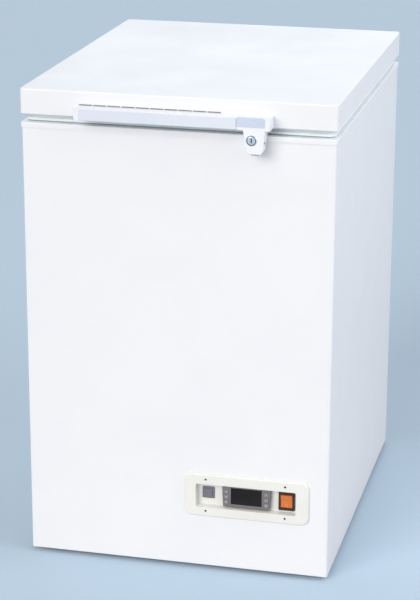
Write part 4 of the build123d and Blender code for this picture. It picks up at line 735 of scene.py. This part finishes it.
def makeKeyMarks():
    # small raised shapes, a triangle, a square and a dot, one on each key
    own = keyMarks
    for side in ("left", "right"):
        for row, count in own["sides"].items():
            node = f"key_{side}_{row}"
            low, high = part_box(node)
            mesh = bmesh.new()
            bmesh.ops.create_circle(mesh, cap_ends=True, segments=count, radius=own["radius"])
            raiseFaces(mesh, own["proud"])
            turn = Matrix.Rotation(math.radians(90), 4, "X") @ Matrix.Rotation(math.radians(45), 4, "Z")
            place = Vector(((low[0] + high[0]) / 2, low[1], (low[2] + high[2]) / 2))
            bmesh.ops.transform(mesh, matrix=Matrix.Translation(place) @ turn, verts=mesh.verts)
            newPiece(f"mark_{side}_{row}", mesh, node, "mark_light")


makeKeyMarks()


# Studio: pale floor, soft lamps far away so that the light is even, and the camera

studio = {"floorColour": (190, 211, 228), "floorBounce": (205, 206, 210), "floorSize": 40.0,
          "floorRoughness": 0.85, "world": (0.985, 0.985, 1.0), "worldStrength": 0.465,
          "seen": (0.475, 0.605, 0.725)}


def seenByEye(tree):
    # camera, mirror and glass rays see the backdrop; the rest only carries plain light
    rays = addNode(tree, "ShaderNodeLightPath")
    visible = mathNode(tree, "MAXIMUM", rays.outputs["Is Camera Ray"], rays.outputs["Is Glossy Ray"])
    return mathNode(tree, "MAXIMUM", visible, rays.outputs["Is Transmission Ray"])


def makeStudio():
    mesh = bmesh.new()
    bmesh.ops.create_grid(mesh, x_segments=2, y_segments=2, size=studio["floorSize"])
    data = bpy.data.meshes.new("studioFloor")
    mesh.to_mesh(data)
    mesh.free()
    floor = bpy.data.objects.new("studioFloor", data)
    bpy.context.collection.objects.link(floor)
    material = bpy.data.materials.new("studioFloor")
    material.use_nodes = True
    tree = material.node_tree
    shader = tree.nodes["Principled BSDF"]
    colour = blendColour(tree, seenByEye(tree), linear(*studio["floorBounce"]),
                         linear(*studio["floorColour"]))
    tree.links.new(colour, shader.inputs["Base Color"])
    shader.inputs["Roughness"].default_value = studio["floorRoughness"]
    data.materials.append(material)
    world = bpy.data.worlds.new("studio")
    bpy.context.scene.world = world
    world.use_nodes = True
    tree = world.node_tree
    background = tree.nodes["Background"]
    background.inputs["Color"].default_value = (*studio["world"], 1.0)
    background.inputs["Strength"].default_value = studio["worldStrength"]
    seen = addNode(tree, "ShaderNodeBackground", [("Color", (*studio["seen"], 1.0)), ("Strength", 1.0)])
    mixed = addNode(tree, "ShaderNodeMixShader", [(0, seenByEye(tree)), (1, background.outputs[0]),
                                                  (2, seen.outputs[0])])
    tree.links.new(mixed.outputs[0], tree.nodes["World Output"].inputs["Surface"])


lamps = {
    "keyLamp": {"from": (-0.40, -0.86, 0.42), "angle": 38, "strength": 1.74, "colour": (1.0, 0.975, 0.945)},
    "sideLamp": {"from": (0.85, -0.25, 0.50), "angle": 60, "strength": 0.56, "colour": (0.94, 0.95, 1.0)},
    "topLamp": {"from": (-0.05, 0.25, 1.0), "angle": 50, "strength": 0.14, "colour": (1.0, 0.98, 0.96)},
    "rearLamp": {"from": (0.15, 0.95, 0.30), "angle": 60, "strength": 0.60, "colour": (0.97, 0.98, 1.0)},
}
lampDistance = 5.0


highLamp = {"place": (1.7, -0.45, 1.55), "aim": (0.27, 0.0, 0.78), "size": 0.9, "power": 8.5,
            "colour": (0.95, 0.96, 1.0)}


def makeHighLamp():
    # near and high on the right, so that the side is lighter at the top
    own = highLamp
    data = bpy.data.lights.new("highLamp", "AREA")
    data.energy = own["power"]
    data.size = own["size"]
    data.color = own["colour"]
    lamp = bpy.data.objects.new("highLamp", data)
    bpy.context.collection.objects.link(lamp)
    aim = Vector(own["aim"]) - Vector(own["place"])
    lamp.matrix_world = Matrix.Translation(own["place"]) @ aim.to_track_quat("-Z", "Y").to_matrix().to_4x4()


def makeLamps():
    for name, setting in lamps.items():
        data = bpy.data.lights.new(name, "SUN")
        data.energy = setting["strength"]
        data.angle = math.radians(setting["angle"])
        data.color = setting["colour"]
        lamp = bpy.data.objects.new(name, data)
        bpy.context.collection.objects.link(lamp)
        turn = Vector(setting["from"]).to_track_quat("Z", "Y").to_matrix().to_4x4()
        lamp.matrix_world = Matrix.Translation(Vector(setting["from"]) * lampDistance) @ turn


cameraSettings = {"place": (0.832, -3.552, 1.584), "yaw": 13.51, "pitch": 18.03, "roll": 0.19,
                  "lens": 121.7, "sensor": 36.0}


def makeCamera():
    own = cameraSettings
    data = bpy.data.cameras.new("photoCamera")
    data.lens = own["lens"]
    data.sensor_width = own["sensor"]
    camera = bpy.data.objects.new("photoCamera", data)
    bpy.context.collection.objects.link(camera)
    turn = (Matrix.Rotation(math.radians(own["yaw"]), 4, "Z")
            @ Matrix.Rotation(math.radians(90 - own["pitch"]), 4, "X")
            @ Matrix.Rotation(math.radians(own["roll"]), 4, "Z"))
    camera.matrix_world = Matrix.Translation(own["place"]) @ turn
    bpy.context.scene.camera = camera


makeStudio()
makeLamps()
makeHighLamp()
makeCamera()
bpy.context.scene.view_settings.view_transform = "Standard"
print("studio, lamps and camera made")
